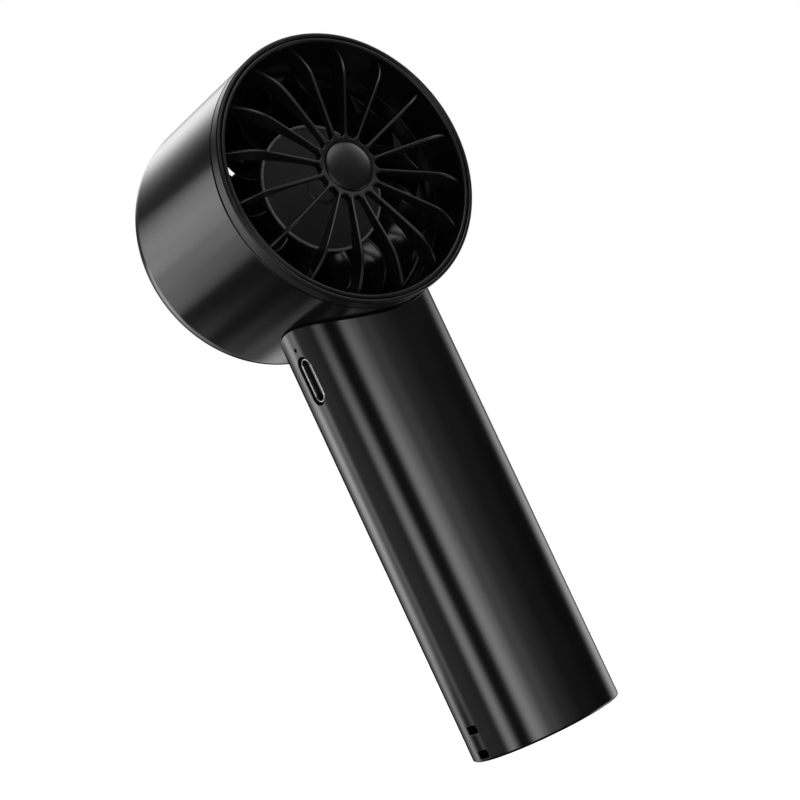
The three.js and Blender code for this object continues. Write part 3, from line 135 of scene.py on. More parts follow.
def stack(rings, closed_stack=False):
    """Points and faces of a stack of rings, with both ends covered unless the stack closes."""
    count = len(rings[0])
    points = [p for ring in rings for p in ring]
    faces = ring_faces(count, len(rings), closed_stack=closed_stack)
    if not closed_stack:
        faces.append(tuple(range(count)))
        faces.append(tuple(range(len(points) - 1, len(points) - count - 1, -1)))
    return points, faces


def joined(parts):
    """Several (points, faces) pairs as one."""
    points, faces = [], []
    for part_points, part_faces in parts:
        shift = len(points)
        points += list(part_points)
        faces += [tuple(i + shift for i in face) for face in part_faces]
    return points, faces


# %% [markdown]
# A turned piece starts as a profile: corner points of radius and depth, each with its own
# rounding. Moulded and machined edges are never sharp, and the thin highlight on a rounded
# edge is what makes a dark object readable, so every corner gets a fillet of its own.

# %% Rounded profiles and turned pieces
FILLET_STEPS = 6
POLE_RADIUS = 1e-4


def rounded(corners, closed=True):
    """Corner points (u, v, fillet) as an outline with each corner replaced by an arc."""
    outline = []
    count = len(corners)
    for i, (u, v, fillet) in enumerate(corners):
        here = Vector((u, v))
        if fillet == 0 or (not closed and i in (0, count - 1)):
            outline.append(here)
            continue
        before = Vector(corners[i - 1][:2]) - here
        after = Vector(corners[(i + 1) % count][:2]) - here
        half = before.angle(after) / 2
        radius = min(fillet, math.tan(half) * min(before.length, after.length))
        centre = here + (before.normalized() + after.normalized()).normalized() * radius / math.sin(half)
        start = here + before.normalized() * radius / math.tan(half) - centre
        end = here + after.normalized() * radius / math.tan(half) - centre
        steps = max(FILLET_STEPS, round(radius * FILLET_STEPS))
        turn = start.angle_signed(end)
        for k in range(steps + 1):
            outline.append(centre + Matrix.Rotation(-turn * k / steps, 2) @ start)
    return outline


def head_point(radius, angle, depth):
    """A point in the barrel: angle in radians from +X towards +Z, depth behind the front."""
    return Vector((
        radius * math.cos(angle), FRONT_Y + depth, AXIS_HEIGHT + radius * math.sin(angle),
    ))


def turned(corners, segments=256, place=head_point):
    """Points and faces of a closed profile turned about an axis. It may touch the axis.

    There its ring is made tiny, and the weld in faces_outward closes it to a point.
    """
    touches = corners[0][0] == 0
    outline = rounded(corners, closed=not touches)
    rings = [
        [place(max(p.x, POLE_RADIUS), angle, p.y) for angle in circle_angles(segments)]
        for p in outline
    ]
    return stack(rings, closed_stack=not touches)


# %% [markdown]
# Each finished mesh goes through one last step: points that coincide are welded, faces are
# turned outwards, edges sharper than a set angle stay crisp, and flat faces keep their true
# direction beside a round edge. The piece then rides on its body and stands for its CAD node.

# %% Finish a piece
def place_piece(name, shape, body, replaces, material, crisp=35):
    obj = new_object(name, *shape)
    faces_outward(obj)
    dress(obj, body, replaces, material, crisp)
    return obj


def dress(obj, body, replaces, material, crisp=35):
    obj.data.shade_smooth()
    obj.data.set_sharp_from_angle(angle=math.radians(crisp))
    weighted = obj.modifiers.new("true_normals", "WEIGHTED_NORMAL")
    weighted.keep_sharp = True
    obj.data.materials.clear()
    obj.data.materials.append(material)
    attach(obj, body)
    if replaces:
        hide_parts(*replaces)
    print(f"{obj.name}: {len(obj.data.polygons)} faces")


def combined(obj, other, operation):
    """Joins or cuts obj with other, and removes other."""
    faces_outward(obj)
    faces_outward(other)
    step = obj.modifiers.new(operation.lower(), "BOOLEAN")
    step.operation = operation
    step.solver = "EXACT"
    step.object = other
    depsgraph = bpy.context.evaluated_depsgraph_get()
    result = bpy.data.meshes.new_from_object(obj.evaluated_get(depsgraph))
    obj.modifiers.clear()
    obj.data = result
    bpy.data.objects.remove(other)
    return obj


# %% [markdown]
# ## Finishes
#
# The barrel and handle are black aluminium: blasted to a fine even grain, then dyed and
# sealed. The grain is too fine to be seen from here, so most of it belongs in the roughness,
# and a very shallow bump breaks up the long highlights. The colour is nearly constant, with a slow
# cloud in it, because dye never takes quite evenly.

# %% Node helpers
def new_material(name):
    material = bpy.data.materials.new(name + "_finish")
    material.use_nodes = True
    tree = material.node_tree
    return material, tree, tree.nodes["Principled BSDF"]


def set_sockets(node, values):
    for socket, value in values.items():
        node.inputs[socket].default_value = value


def noise(tree, scale, detail):
    """Cloud noise in the object's own space. Scale is in grains per millimetre."""
    place = tree.nodes.new("ShaderNodeTexCoord")
    cloud = tree.nodes.new("ShaderNodeTexNoise")
    set_sockets(cloud, {"Scale": scale / MM, "Detail": detail})
    tree.links.new(place.outputs["Object"], cloud.inputs["Vector"])
    return cloud.outputs["Fac"]


NOISE_LOW, NOISE_HIGH = 0.3, 0.7


def spread(tree, value, low, high):
    """Stretches the range that noise mostly keeps to onto low to high."""
    remap = tree.nodes.new("ShaderNodeMapRange")
    set_sockets(remap, {
        "From Min": NOISE_LOW, "From Max": NOISE_HIGH, "To Min": low, "To Max": high,
    })
    tree.links.new(value, remap.inputs["Value"])
    return remap.outputs["Result"]


def tinted(tree, value, dark, light):
    """A colour between dark and light, by value."""
    ramp = tree.nodes.new("ShaderNodeValToRGB")
    stops = zip(ramp.color_ramp.elements, (NOISE_LOW, NOISE_HIGH), (dark, light))
    for stop, position, colour in stops:
        stop.position = position
        stop.color = (*colour, 1)
    tree.links.new(value, ramp.inputs["Fac"])
    return ramp.outputs["Color"]


def bumped(tree, shader, height, depth):
    """Raises the surface by height, at most depth millimetres."""
    bump = tree.nodes.new("ShaderNodeBump")
    set_sockets(bump, {"Strength": 1.0, "Distance": depth * MM})
    tree.links.new(height, bump.inputs["Height"])
    tree.links.new(bump.outputs["Normal"], shader.inputs["Normal"])


FINISHES = {}


def surface(name, dark, light, rough, metallic=0.0, grain=6.0, depth=0.001, cloud=0.12, specular=0.5):
    """A finish with a slow cloud of colour, a fine grain and a roughness that follows both."""
    material, tree, shader = new_material(name)
    slow = noise(tree, cloud, detail=3)
    fine = noise(tree, grain, detail=1)
    tree.links.new(tinted(tree, slow, dark, light), shader.inputs["Base Color"])
    tree.links.new(spread(tree, fine, *rough), shader.inputs["Roughness"])
    set_sockets(shader, {"Metallic": metallic, "Specular IOR Level": specular})
    bumped(tree, shader, fine, depth)
    FINISHES[name] = material
    return material


def grey(value):
    return (value, value, value)


# %% [markdown]
# The finishes below are kept by name in FINISHES, because the inner pieces fetch theirs from
# there. The ones that a piece of this script wears are also held in a variable.

# %% The fan's finishes
black_metal = surface(
    "black_metal", grey(0.0020), grey(0.0028), (0.12, 0.17), grain=7, depth=0.0006, specular=0.7,
)
black_plastic = surface("black_plastic", grey(0.0016), grey(0.0022), (0.28, 0.34), grain=9, depth=0.0008)
inner_plastic = surface("inner_plastic", grey(0.0018), grey(0.0024), (0.34, 0.42), grain=9, depth=0.0008)
blade_plastic = surface("blade_plastic", grey(0.0014), grey(0.0020), (0.14, 0.20), grain=5, depth=0.0003)
cup_plastic = surface(
    "cup_plastic", grey(0.0038), grey(0.0062), (0.40, 0.50), grain=3, depth=0.002, cloud=0.4,
    specular=0.35,
)
# The rotor rim bead's light grey is a painted highlight, not the plastic's own colour.
rim_painted_highlight = surface("rim_painted_highlight", grey(0.060), grey(0.075), (0.22, 0.30), grain=3, depth=0.001)
button_metal = surface(
    "button_metal", grey(0.0040), grey(0.0055), (0.18, 0.24), grain=9, depth=0.0008, specular=0.7,
)
surface("carrier_plastic", (0.52, 0.52, 0.49), (0.60, 0.60, 0.57), (0.45, 0.55), grain=8)
port_steel = surface(
    "port_steel", grey(0.60), grey(0.66), (0.16, 0.24), metallic=1.0, grain=10, depth=0.0006,
)
port_plastic = surface("port_plastic", grey(0.045), grey(0.060), (0.35, 0.45), grain=9)
surface("steel", grey(0.55), grey(0.62), (0.22, 0.34), metallic=1.0, grain=12, depth=0.0008)
surface("dark_steel", grey(0.07), grey(0.10), (0.34, 0.46), metallic=1.0, grain=10)
surface("nickel", (0.60, 0.57, 0.52), (0.66, 0.63, 0.58), (0.20, 0.30), metallic=1.0, grain=10)
copper = surface("copper", (0.50, 0.19, 0.07), (0.60, 0.25, 0.11), (0.24, 0.36), metallic=1.0, grain=6)
surface("board", (0.010, 0.075, 0.030), (0.016, 0.100, 0.045), (0.32, 0.44), grain=7)
surface("cell_wrap", (0.035, 0.17, 0.34), (0.050, 0.21, 0.40), (0.28, 0.38), grain=4)
clear_plastic = surface("clear_plastic", grey(0.010), grey(0.014), (0.10, 0.18), grain=5)
surface("red_lead", (0.36, 0.014, 0.014), (0.44, 0.022, 0.020), (0.40, 0.50), grain=8)
surface("black_lead", grey(0.014), grey(0.020), (0.40, 0.50), grain=8)
print("finishes:", len(FINISHES))

# %% [markdown]
# ## Barrel
#
# The barrel is one deep-drawn aluminium cup: a straight wall, a large soft rear corner and a
# rolled rear opening. It is a turned profile here too. The hole for the handle's neck is cut
# afterwards, because it is the one thing on the barrel that isn't round about its axis.

# %% Head shell
PARTING = 0.15
BEZEL_DEPTH = 2.5
BEZEL_GAP = 0.4
SHELL_WALL = 0.8
REAR_ROUND = 7.3
LIP_EDGE = 0.2
shell_front = BEZEL_DEPTH + BEZEL_GAP
shell_inner = BARREL_RADIUS - SHELL_WALL
rear_opening = BARREL_RADIUS - REAR_ROUND
head_shell = new_object("barrel_shell", *turned([
    (BARREL_RADIUS, shell_front, 0.12),
    (BARREL_RADIUS, BARREL_LENGTH, REAR_ROUND - LIP_EDGE),
    (rear_opening, BARREL_LENGTH, LIP_EDGE),
    (rear_opening, BARREL_LENGTH - SHELL_WALL, LIP_EDGE / 2),
    (shell_inner, BARREL_LENGTH - SHELL_WALL, REAR_ROUND - SHELL_WALL - LIP_EDGE / 2),
    (shell_inner, shell_front, 0.1),
], segments=320))


def oval_ring(half_x, half_y, z, count=160):
    return [Vector((half_x * math.cos(a), half_y * math.sin(a), z)) for a in circle_angles(count)]


NECK_X, NECK_Y = 11.2, 11.7
neck_cutter = new_object("neck_cutter", *stack([
    oval_ring(NECK_X, NECK_Y, AXIS_HEIGHT - 1.2 * BARREL_RADIUS),
    oval_ring(NECK_X, NECK_Y, AXIS_HEIGHT),
]))
combined(head_shell, neck_cutter, "DIFFERENCE")
dress(head_shell, "fan_body", ["head_shell"], black_metal)

# %% [markdown]
# ## Front ring and grille
#
# A plastic bezel closes the barrel's front. Inside it sits the grille's own lip, with a fine
# groove between the two. Both are narrow rings with a rounded front, like two wires side by
# side, so each catches its own thread of light.

# %% Bezel
BEZEL_WIDTH = 0.85
bezel_inner = BARREL_RADIUS - BEZEL_WIDTH
place_piece("front_ring", turned([
    (BARREL_RADIUS, 0, 0.34),
    (BARREL_RADIUS, BEZEL_DEPTH, 0.1),
    (bezel_inner, BEZEL_DEPTH, 0.05),
    (bezel_inner, 0, 0.3),
], segments=320), "fan_body", ["front_bezel"], black_plastic)

# %% [markdown]
# The grille is one moulding: a deep skirt that lines the duct, a small hub, and sixteen ribs
# between them. Seen from the front the ribs are straight. Seen from the side each one bows
# forward and dives back into the wall. The slots between them have round inner ends, where a
# milling cutter would have left them in the mould.
#
# So the spider is drawn in plan, one sector at a time. Each station across a rib gets a front
# and a back depth, and the front edge is rounded by its distance from the slot.

# %% Grille ribs in plan
DUCT_WALL = 0.8
SKIRT_DEPTH = 10.3
RIB_COUNT = 16
RIB_HALF = 0.29
RIB_EDGE = 0.25
SLOT_CENTRE = 6.95
HUB_OPENING = 5.05
HUB_STATIONS, SLOT_STATIONS, RIB_STATIONS = 8, 8, 44
duct_outer = bezel_inner - PARTING
duct_radius = duct_outer - DUCT_WALL
rib_reach = duct_radius + DUCT_WALL / 2
half_sector = math.pi / RIB_COUNT
slot_round = SLOT_CENTRE * math.sin(half_sector) - RIB_HALF
slot_middle = Vector((SLOT_CENTRE * math.cos(half_sector), SLOT_CENTRE * math.sin(half_sector)))


def sector_stations():
    """Pairs (centre-line point, edge point) from the hub's opening out to the duct wall."""
    stations = []
    edge_direction = slot_middle.normalized()
    slot_start = SLOT_CENTRE - slot_round
    for radius in np.linspace(HUB_OPENING, slot_start, HUB_STATIONS + 1)[:-1]:
        stations.append((Vector((radius, 0)), edge_direction * radius))
    for k in range(SLOT_STATIONS):
        angle = math.pi / 2 * k / SLOT_STATIONS
        along = -edge_direction * math.cos(angle)
        across = Vector((edge_direction.y, -edge_direction.x)) * math.sin(angle)
        edge = slot_middle + slot_round * (along + across)
        stations.append((Vector((edge.length, 0)), edge))
    for radius in np.linspace(SLOT_CENTRE, rib_reach, RIB_STATIONS):
        stations.append((Vector((radius, 0)), Vector((radius, RIB_HALF))))
    return stations


def slot_distance(point):
    """How far a plan point of the upper half-sector lies from the slot beside it."""
    to_round = (point - slot_middle).length - slot_round
    if point.dot(slot_middle.normalized()) < SLOT_CENTRE:
        return max(0.0, to_round)
    return max(0.0, RIB_HALF - point.y)


# %% Rib profile and the spider mesh
def bezier(a, b, c, d, t):
    s = 1 - t
    return s ** 3 * a + 3 * s * s * t * b + 3 * s * t * t * c + t ** 3 * d


RIB_ROOT = 4.6
HUB_FRONT = 0.15
CREST_RADIUS = 18.4
CREST = 1.73
CREST_EASE = 2.2
TIP_DEPTH = 1.9
RIB_HUB_DEPTH = 1.9
RIB_WALL_DEPTH = 3.0
RIB_MIDDLE_DEPTH = 0.9
steps = np.linspace(0, 1, 60)
front_radii = np.concatenate([
    bezier(RIB_ROOT, (2 * RIB_ROOT + CREST_RADIUS) / 3, CREST_RADIUS - CREST_EASE, CREST_RADIUS, steps),
    bezier(CREST_RADIUS, CREST_RADIUS + CREST_EASE, rib_reach - CREST_EASE, rib_reach, steps),
])
front_depths = np.concatenate([
    bezier(HUB_FRONT, HUB_FRONT - CREST / 3, -CREST, -CREST, steps),
    bezier(-CREST, -CREST, -CREST / 4, TIP_DEPTH, steps),
])


def rib_front(radius):
    return float(np.interp(radius, front_radii, front_depths))


def rib_back(radius):
    share = (radius - RIB_ROOT) / (rib_reach - RIB_ROOT)
    middle = RIB_MIDDLE_DEPTH - CREST
    root, tip = HUB_FRONT + RIB_HUB_DEPTH, TIP_DEPTH + RIB_WALL_DEPTH
    return (1 - share) ** 2 * root + 2 * share * (1 - share) * middle + share ** 2 * tip


ACROSS = [-1, -0.94, -0.86, -0.76, -0.64, -0.5, -0.25, 0, 0.25, 0.5, 0.64, 0.76, 0.86, 0.94, 1]


def edge_depth(plan):
    """Depth of the rounded front edge at a plan point."""
    near = min(slot_distance(plan), RIB_EDGE)
    sunk = RIB_EDGE - math.sqrt(max(0.0, RIB_EDGE ** 2 - (RIB_EDGE - near) ** 2))
    return rib_front(plan.length) + sunk


def back_depth(plan):
    return rib_back(plan.length)


def sector_points(stations, turn, depth):
    """One side of a sector's skin, with the depth of each plan point."""
    found = []
    for centre, edge in stations:
        for share in ACROSS:
            plan = centre.lerp(edge, abs(share))
            angle = turn + math.copysign(math.atan2(plan.y, plan.x), share)
            found.append(head_point(plan.length, angle, depth(plan)))
    return found


def spider():
    """The hub and the ribs as one closed skin, sector by sector."""
    points, faces = [], []
    stations = sector_stations()
    width = len(ACROSS)
    for sector in range(RIB_COUNT):
        turn = 2 * half_sector * sector
        first = len(points)
        points += sector_points(stations, turn, edge_depth)
        back = len(points)
        points += sector_points(stations, turn, back_depth)
        for i in range(len(stations) - 1):
            a, b = first + i * width, first + (i + 1) * width
            c, d = back + i * width, back + (i + 1) * width
            for j in range(width - 1):
                faces.append((a + j, a + j + 1, b + j + 1, b + j))
                faces.append((c + j + 1, c + j, d + j, d + j + 1))
            if i >= HUB_STATIONS:
                faces.append((a, b, d, c))
                last = width - 1
                faces.append((a + last, c + last, d + last, b + last))
        inner, outer = first, first + (len(stations) - 1) * width
        inner_back, outer_back = back, back + (len(stations) - 1) * width
        for j in range(width - 1):
            faces.append((inner + j + 1, inner + j, inner_back + j, inner_back + j + 1))
            faces.append((outer + j, outer + j + 1, outer_back + j + 1, outer_back + j))
    return points, faces


skirt = turned([
    (duct_outer, 0.05, 0.24),
    (duct_outer, SKIRT_DEPTH, 0.1),
    (duct_radius, SKIRT_DEPTH, 0.15),
    (duct_radius, 0.05, 0.34),
], segments=320)
place_piece(
    "grille", joined([skirt, spider()]), "fan_body", ["front_grille"],
    black_plastic,
)

# %% [markdown]
# ## Centre cap
#
# A press-in cap hides the grille's core. It is a shallow dome with a crisp rim, in the same
# plastic as the ribs, and its even curve shows one broad soft highlight.

# %% Cap
def dome(radius, rim_depth, rise, count):
    """Profile points of a dome, from its top to its rim. A negative rise bulges forward."""
    return [
        (radius * math.sin(a), rim_depth + rise * math.cos(a), 0)
        for a in (math.pi / 2 * k / count for k in range(count + 1))
    ]


CAP_RADIUS = 4.9
CAP_DOME = 0.8
CAP_STEM = 1.4
CAP_STEM_END = 2.75
cap_seat = HUB_FRONT + 1.0
place_piece("centre_cap", turned([
    *dome(CAP_RADIUS, HUB_FRONT, -CAP_DOME, 24)[:-1],
    (CAP_RADIUS, HUB_FRONT + 0.05, 0.1),
    (CAP_RADIUS, cap_seat, 0.1),
    (CAP_STEM, cap_seat, 0),
    (CAP_STEM, CAP_STEM_END, 0.1),
    (0, CAP_STEM_END, 0),
], segments=128), "fan_body", ["grille_cap"], black_plastic)

# %% [markdown]
# ## Inside the barrel
#
# Behind the grille the air runs through a plain moulded duct. Its neck drops into the handle
# and holds the head on, so this piece is the fan's real backbone. The tube is turned, the neck
# and its tongue are added, and the bore is opened again last, the way the mould's core would.

# %% Duct housing
FIT = 0.2
REAR_CENTRE = BARREL_LENGTH - REAR_ROUND
duct_front = SKIRT_DEPTH + FIT
duct_rear = REAR_CENTRE - FIT
NECK_BOTTOM = span("duct_housing")[0].z


def slab(low, high):
    """The corners of a plain block as a two-ring stack."""
    corners = [(low[0], low[1]), (high[0], low[1]), (high[0], high[1]), (low[0], high[1])]
    return stack([[Vector((x, y, z)) for x, y in corners] for z in (low[2], high[2])])


def disc_stack(radius, front, rear):
    """A plain cylinder on the head's axis."""
    return stack([
        [head_point(radius, angle, depth) for angle in circle_angles(320)]
        for depth in (front, rear)
    ])


NECK_FOOT = 82.9
TONGUE_X = 8
TONGUE_Y = (-9.5, -4.5)
NECK_SCREWS = [(-5, 77.6), (5, 77.6)]
LEAD_HOLE = 2.0
LEAD_HOLE_Y = 8.3
SCREW_HOLE = 1.15
STEM_X, STEM_Y = NECK_X - FIT, NECK_Y - FIT
duct = new_object("air_duct", *turned([
    (duct_outer, duct_front, 0.15),
    (duct_outer, duct_rear, 0.1),
    (duct_radius, duct_rear, 0.1),
    (duct_radius, duct_front, 0.1),
], segments=320))
stem = new_object("stem", *stack([
    oval_ring(STEM_X, STEM_Y, NECK_FOOT), oval_ring(STEM_X, STEM_Y, AXIS_HEIGHT - duct_radius / 2),
]))
tongue_low = (-TONGUE_X, TONGUE_Y[0], NECK_BOTTOM)
tongue_high = (TONGUE_X, TONGUE_Y[1], NECK_FOOT + 0.5)
combined(stem, new_object("tongue", *slab(tongue_low, tongue_high)), "UNION")
combined(stem, new_object("bore", *disc_stack(duct_radius, 0, BARREL_LENGTH)), "DIFFERENCE")
combined(stem, new_object("front_room", *disc_stack(shell_inner, 0, duct_front)), "DIFFERENCE")
combined(duct, stem, "UNION")


def upright_ring(x, y, radius, z, count=48):
    return [
        Vector((x + radius * math.cos(a), y + radius * math.sin(a), z))
        for a in circle_angles(count)
    ]


def level_ring(x, z, radius, y, count=48):
    return [
        Vector((x + radius * math.cos(a), y, z + radius * math.sin(a)))
        for a in circle_angles(count)
    ]


lead_hole = stack([upright_ring(0, LEAD_HOLE_Y, LEAD_HOLE, z) for z in (NECK_BOTTOM, AXIS_HEIGHT)])
combined(duct, new_object("lead_hole", *lead_hole), "DIFFERENCE")
for x, z in NECK_SCREWS:
    screw_hole = stack([level_ring(x, z, SCREW_HOLE, y) for y in (-HANDLE_Y, HANDLE_Y)])
    combined(duct, new_object("screw_hole", *screw_hole), "DIFFERENCE")
dress(duct, "fan_body", ["duct_housing"], inner_plastic)

# %% [markdown]
# ## Rear grille
#
# Air enters at the back through a basket: a rounded edge that seats in the barrel's rear
# corner, two rings, a hub and eight spokes. All its rear edges are rounded, because fingers
# touch them. The rings stand a hair proud of the spokes, so a thin edge shows where they cross.

# %% Rear grille
BASKET_ROUND = REAR_ROUND - SHELL_WALL - FIT
BASKET_WALL = 0.8
REAR_FACE = BARREL_LENGTH - FIT
RING_WIDTH = 0.9
BAR_DEPTH = 1.5
BAR_EDGE = 0.25
RING_RADII = (8.6, 13.1)
GUARD_HUB = 4.4
SPOKES = 8
basket_lip = rear_opening - FIT
basket_outer = rear_opening + BASKET_ROUND
basket_inner = basket_outer - BASKET_WALL
basket_rear = REAR_CENTRE + BASKET_ROUND
basket = turned([
    (basket_outer, REAR_CENTRE, 0.1),
    (basket_outer, basket_rear, BASKET_ROUND - 0.1),
    (basket_lip, basket_rear, 0.1),
    (basket_lip, REAR_FACE, BAR_EDGE),
    (basket_lip - RING_WIDTH, REAR_FACE, BAR_EDGE),
    (basket_lip - RING_WIDTH, basket_rear - BASKET_WALL, 0.1),
    (basket_inner, basket_rear - BASKET_WALL, BASKET_ROUND - BASKET_WALL - 0.1),
    (basket_inner, REAR_CENTRE, 0.1),
], segments=256)
bars = [basket]
for radius in RING_RADII:
    bars.append(turned([
        (radius, REAR_FACE - BAR_DEPTH, 0.1),
        (radius + RING_WIDTH, REAR_FACE - BAR_DEPTH, 0.1),
        (radius + RING_WIDTH, REAR_FACE, BAR_EDGE),
        (radius, REAR_FACE, BAR_EDGE),
    ], segments=192))
bars.append(turned([
    (0, REAR_FACE - BAR_DEPTH, 0),
    (GUARD_HUB, REAR_FACE - BAR_DEPTH, 0.1),
    (GUARD_HUB, REAR_FACE, 0.4),
    (0, REAR_FACE, 0),
], segments=128))


SPOKE_DROP = 0.03


def spoke(angle, inner, outer):
    """A straight bar with rounded long edges, from radius inner to outer."""
    half = RING_WIDTH / 2
    front, rear = REAR_FACE - BAR_DEPTH + SPOKE_DROP, REAR_FACE - SPOKE_DROP
    section = rounded([
        (-half, front, 0.1), (half, front, 0.1), (half, rear, BAR_EDGE), (-half, rear, BAR_EDGE),
    ])
    rings = []
    for radius in (inner, outer):
        ring = []
        for p in section:
            x = radius * math.cos(angle) - p.x * math.sin(angle)
            z = radius * math.sin(angle) + p.x * math.cos(angle)
            ring.append(Vector((x, FRONT_Y + p.y, AXIS_HEIGHT + z)))
        rings.append(ring)
    return stack(rings)


for k in range(SPOKES):
    angle = math.pi * (2 * k + 1) / SPOKES
    bars.append(spoke(angle, GUARD_HUB - 0.4, basket_lip - RING_WIDTH / 2))
place_piece("rear_guard", joined(bars), "fan_body", ["rear_grille"], black_plastic)

# %% [markdown]
# ## Guide vanes and rotor
#
# Both the fixed vanes and the spinning blades are thin curved plates between a hub and a rim.
# A plate is lofted here through sections at growing radius. Each section is a long thin oval
# that follows the blade's turn from its front edge to its rear edge. It is rounded off at its
# nose and, more tightly, at its tail, and that bends a reflection along the blade.

# %% Blade loft
NOSE = 0.125
TAIL = 0.06


def blade(turn, inner, outer, front, rear, thickness, wraps, lean=0, sweep=0, camber=0.25, along=40):
    """One blade. Angles in degrees; wraps are its turn at hub and tip."""
    rings = []
    for span_share in np.linspace(0, 1, 25):
        radius = inner + (outer - inner) * span_share
        wrap = wraps[0] + (wraps[1] - wraps[0]) * span_share
        pitch = math.atan2(math.radians(wrap) * radius, rear - front)
        chords = [(1 - math.cos(math.pi * i / along)) / 2 for i in range(along + 1)]
        ring = []
        for side, order in ((1, chords), (-1, chords[-2:0:-1])):
            for chord in order:
                nose = math.sqrt(min(1.0, chord / NOSE))
                into_tail = max(0.0, (chord - 1 + TAIL) / TAIL)
                tail = math.sqrt(max(0.0, 1 - into_tail ** 2))
                half = side * thickness / 2 * nose * tail
                bow = chord + camber * chord * (1 - chord)
                edge = turn + lean * span_share + sweep * span_share ** 2
                angle = math.radians(edge - wrap * bow)
                angle += half * math.cos(pitch) / radius
                depth = front + (rear - front) * chord + half * math.sin(pitch)
                ring.append(head_point(radius, angle, depth))
        rings.append(ring)
    return stack(rings)


# %% [markdown]
# The stator frame is a thin ring with seven gently twisted vanes that hold the motor's cup in
# the middle of the air path. They lean the other way from the blades, to straighten the swirl.

# %% Stator frame
FRAME_FRONT = 14.4
FRAME_REAR = REAR_CENTRE - 2 * FIT
FRAME_OUTER = duct_radius - 0.15
FRAME_INNER = FRAME_OUTER - 0.65
HUB_RADIUS = 12.8
HUB_INNER = HUB_RADIUS - 0.8
TUBE_INNER, TUBE_OUTER, TUBE_FRONT = 2.6, 3.4, 15.3
PLATE_FRONT, PLATE_REAR = 28.2, 29.8
LEAD_DEPTH = 27.6
VANES = 7
frame_hub_front = FRAME_REAR - 8.7
frame_ring = new_object("frame_ring", *turned([
    (FRAME_OUTER, FRAME_FRONT, 0.12),
    (FRAME_OUTER, FRAME_REAR, 0.1),
    (FRAME_INNER, FRAME_REAR, 0.1),
    (FRAME_INNER, FRAME_FRONT, 0.3),
], segments=256))
combined(frame_ring, new_object("lead_hole", *stack([
    upright_ring(0, LEAD_HOLE_Y, LEAD_HOLE, z) for z in (AXIS_HEIGHT - 30, AXIS_HEIGHT - 20)
])), "DIFFERENCE")
frame_hub = new_object("frame_hub", *turned([
    (TUBE_INNER, TUBE_FRONT, 0.1),
    (TUBE_OUTER, TUBE_FRONT, 0.1),
    (TUBE_OUTER, PLATE_FRONT, 0.2),
    (HUB_INNER, PLATE_FRONT, 0.2),
    (HUB_INNER, frame_hub_front, 0.2),
    (HUB_RADIUS, frame_hub_front, 0.3),
    (HUB_RADIUS, FRAME_REAR, 0.1),
    (HUB_INNER, FRAME_REAR, 0.1),
    (HUB_INNER, PLATE_REAR, 0.2),
    (TUBE_INNER, PLATE_REAR, 0.1),
], segments=192))
combined(frame_hub, new_object("lead_slot", *slab(
    (-LEAD_HOLE, FRONT_Y + frame_hub_front - 1, AXIS_HEIGHT - HUB_RADIUS - 1),
    (LEAD_HOLE, FRONT_Y + LEAD_DEPTH + 0.65, AXIS_HEIGHT - HUB_INNER + 1),
)), "DIFFERENCE")
vanes = [
    blade(
        270 + 360 * k / VANES, HUB_RADIUS - 0.4, FRAME_INNER + 0.3,
        FRAME_REAR - 6.6, FRAME_REAR - 0.9, thickness=0.9, wraps=(-18, -18),
    )
    for k in range(VANES)
]


def shape_of(obj):
    """The points in millimetres and the faces of an object, which is then removed."""
    shape = [v.co / MM for v in obj.data.vertices], [tuple(f.vertices) for f in obj.data.polygons]
    bpy.data.objects.remove(obj)
    return shape


place_piece(
    "guide_vanes", joined([shape_of(frame_ring), shape_of(frame_hub), *vanes]),
    "fan_body", ["stator_frame"], inner_plastic,
)

# %% [markdown]
# The rotor is a cup that covers the motor, with thirteen blades round it. The cup's face is
# sunk a little, with a small raised boss in its middle, and it is duller than the blades. All
# of it spins with the rotor body.

# %% Rotor cup
ROTOR_FRONT = 10.6
ROTOR_REAR = 26.4
BOSS_RADIUS = 2.9
FACE_DEPTH = 0.4
CUP_WALL = 0.9
cup_face = ROTOR_FRONT + FACE_DEPTH
cup_inside = ROTOR_FRONT + 1.7
rotor_cup = turned([
    (0, ROTOR_FRONT, 0),
    (BOSS_RADIUS, ROTOR_FRONT, 0.25),
    (BOSS_RADIUS + 0.4, cup_face, 0.3),
    (HUB_RADIUS, cup_face, 0.1),
    (HUB_RADIUS, ROTOR_REAR, 0.1),
    (HUB_RADIUS - CUP_WALL, ROTOR_REAR, 0.1),
    (HUB_RADIUS - CUP_WALL, cup_inside, 0.4),
    (0, cup_inside, 0),
], segments=256)
place_piece("rotor_cup", rotor_cup, "rotor", ["impeller"], cup_plastic)

# %% [markdown]
# The cup's front edge shows as a thin light line. A highlight alone came out too faint, so the
# edge is a small round bead with a smoother finish and a light grey colour, which is a painted
# highlight. A separate piece is the easy way to give one edge a finish of its own.

# %% Rim bead
RIM_BEAD = 0.28
RIM_DEPTH = 0.9
rim_inner = HUB_RADIUS - 2 * RIM_BEAD
rotor_rim = turned([
    (rim_inner, ROTOR_FRONT, RIM_BEAD * 0.9),
    (HUB_RADIUS, ROTOR_FRONT, RIM_BEAD * 0.9),
    (HUB_RADIUS, ROTOR_FRONT + RIM_DEPTH, 0.05),
    (rim_inner, ROTOR_FRONT + RIM_DEPTH, 0.05),
], segments=256)
place_piece("rotor_rim", rotor_rim, "rotor", ["impeller"], rim_painted_highlight)

# %% Blades
BLADE_COUNT = 13
BLADE_TURN = 16.5
BLADE_TIP = 23.5
rotor_parts = [
    blade(
        BLADE_TURN + 360 * k / BLADE_COUNT, HUB_RADIUS - 0.45, BLADE_TIP,
        ROTOR_FRONT + 1, ROTOR_REAR - 1, thickness=0.7, wraps=(46, 34), lean=15.6, sweep=-37.3,
    )
    for k in range(BLADE_COUNT)
]
place_piece("rotor_blades", joined(rotor_parts), "rotor", ["impeller"], blade_plastic)

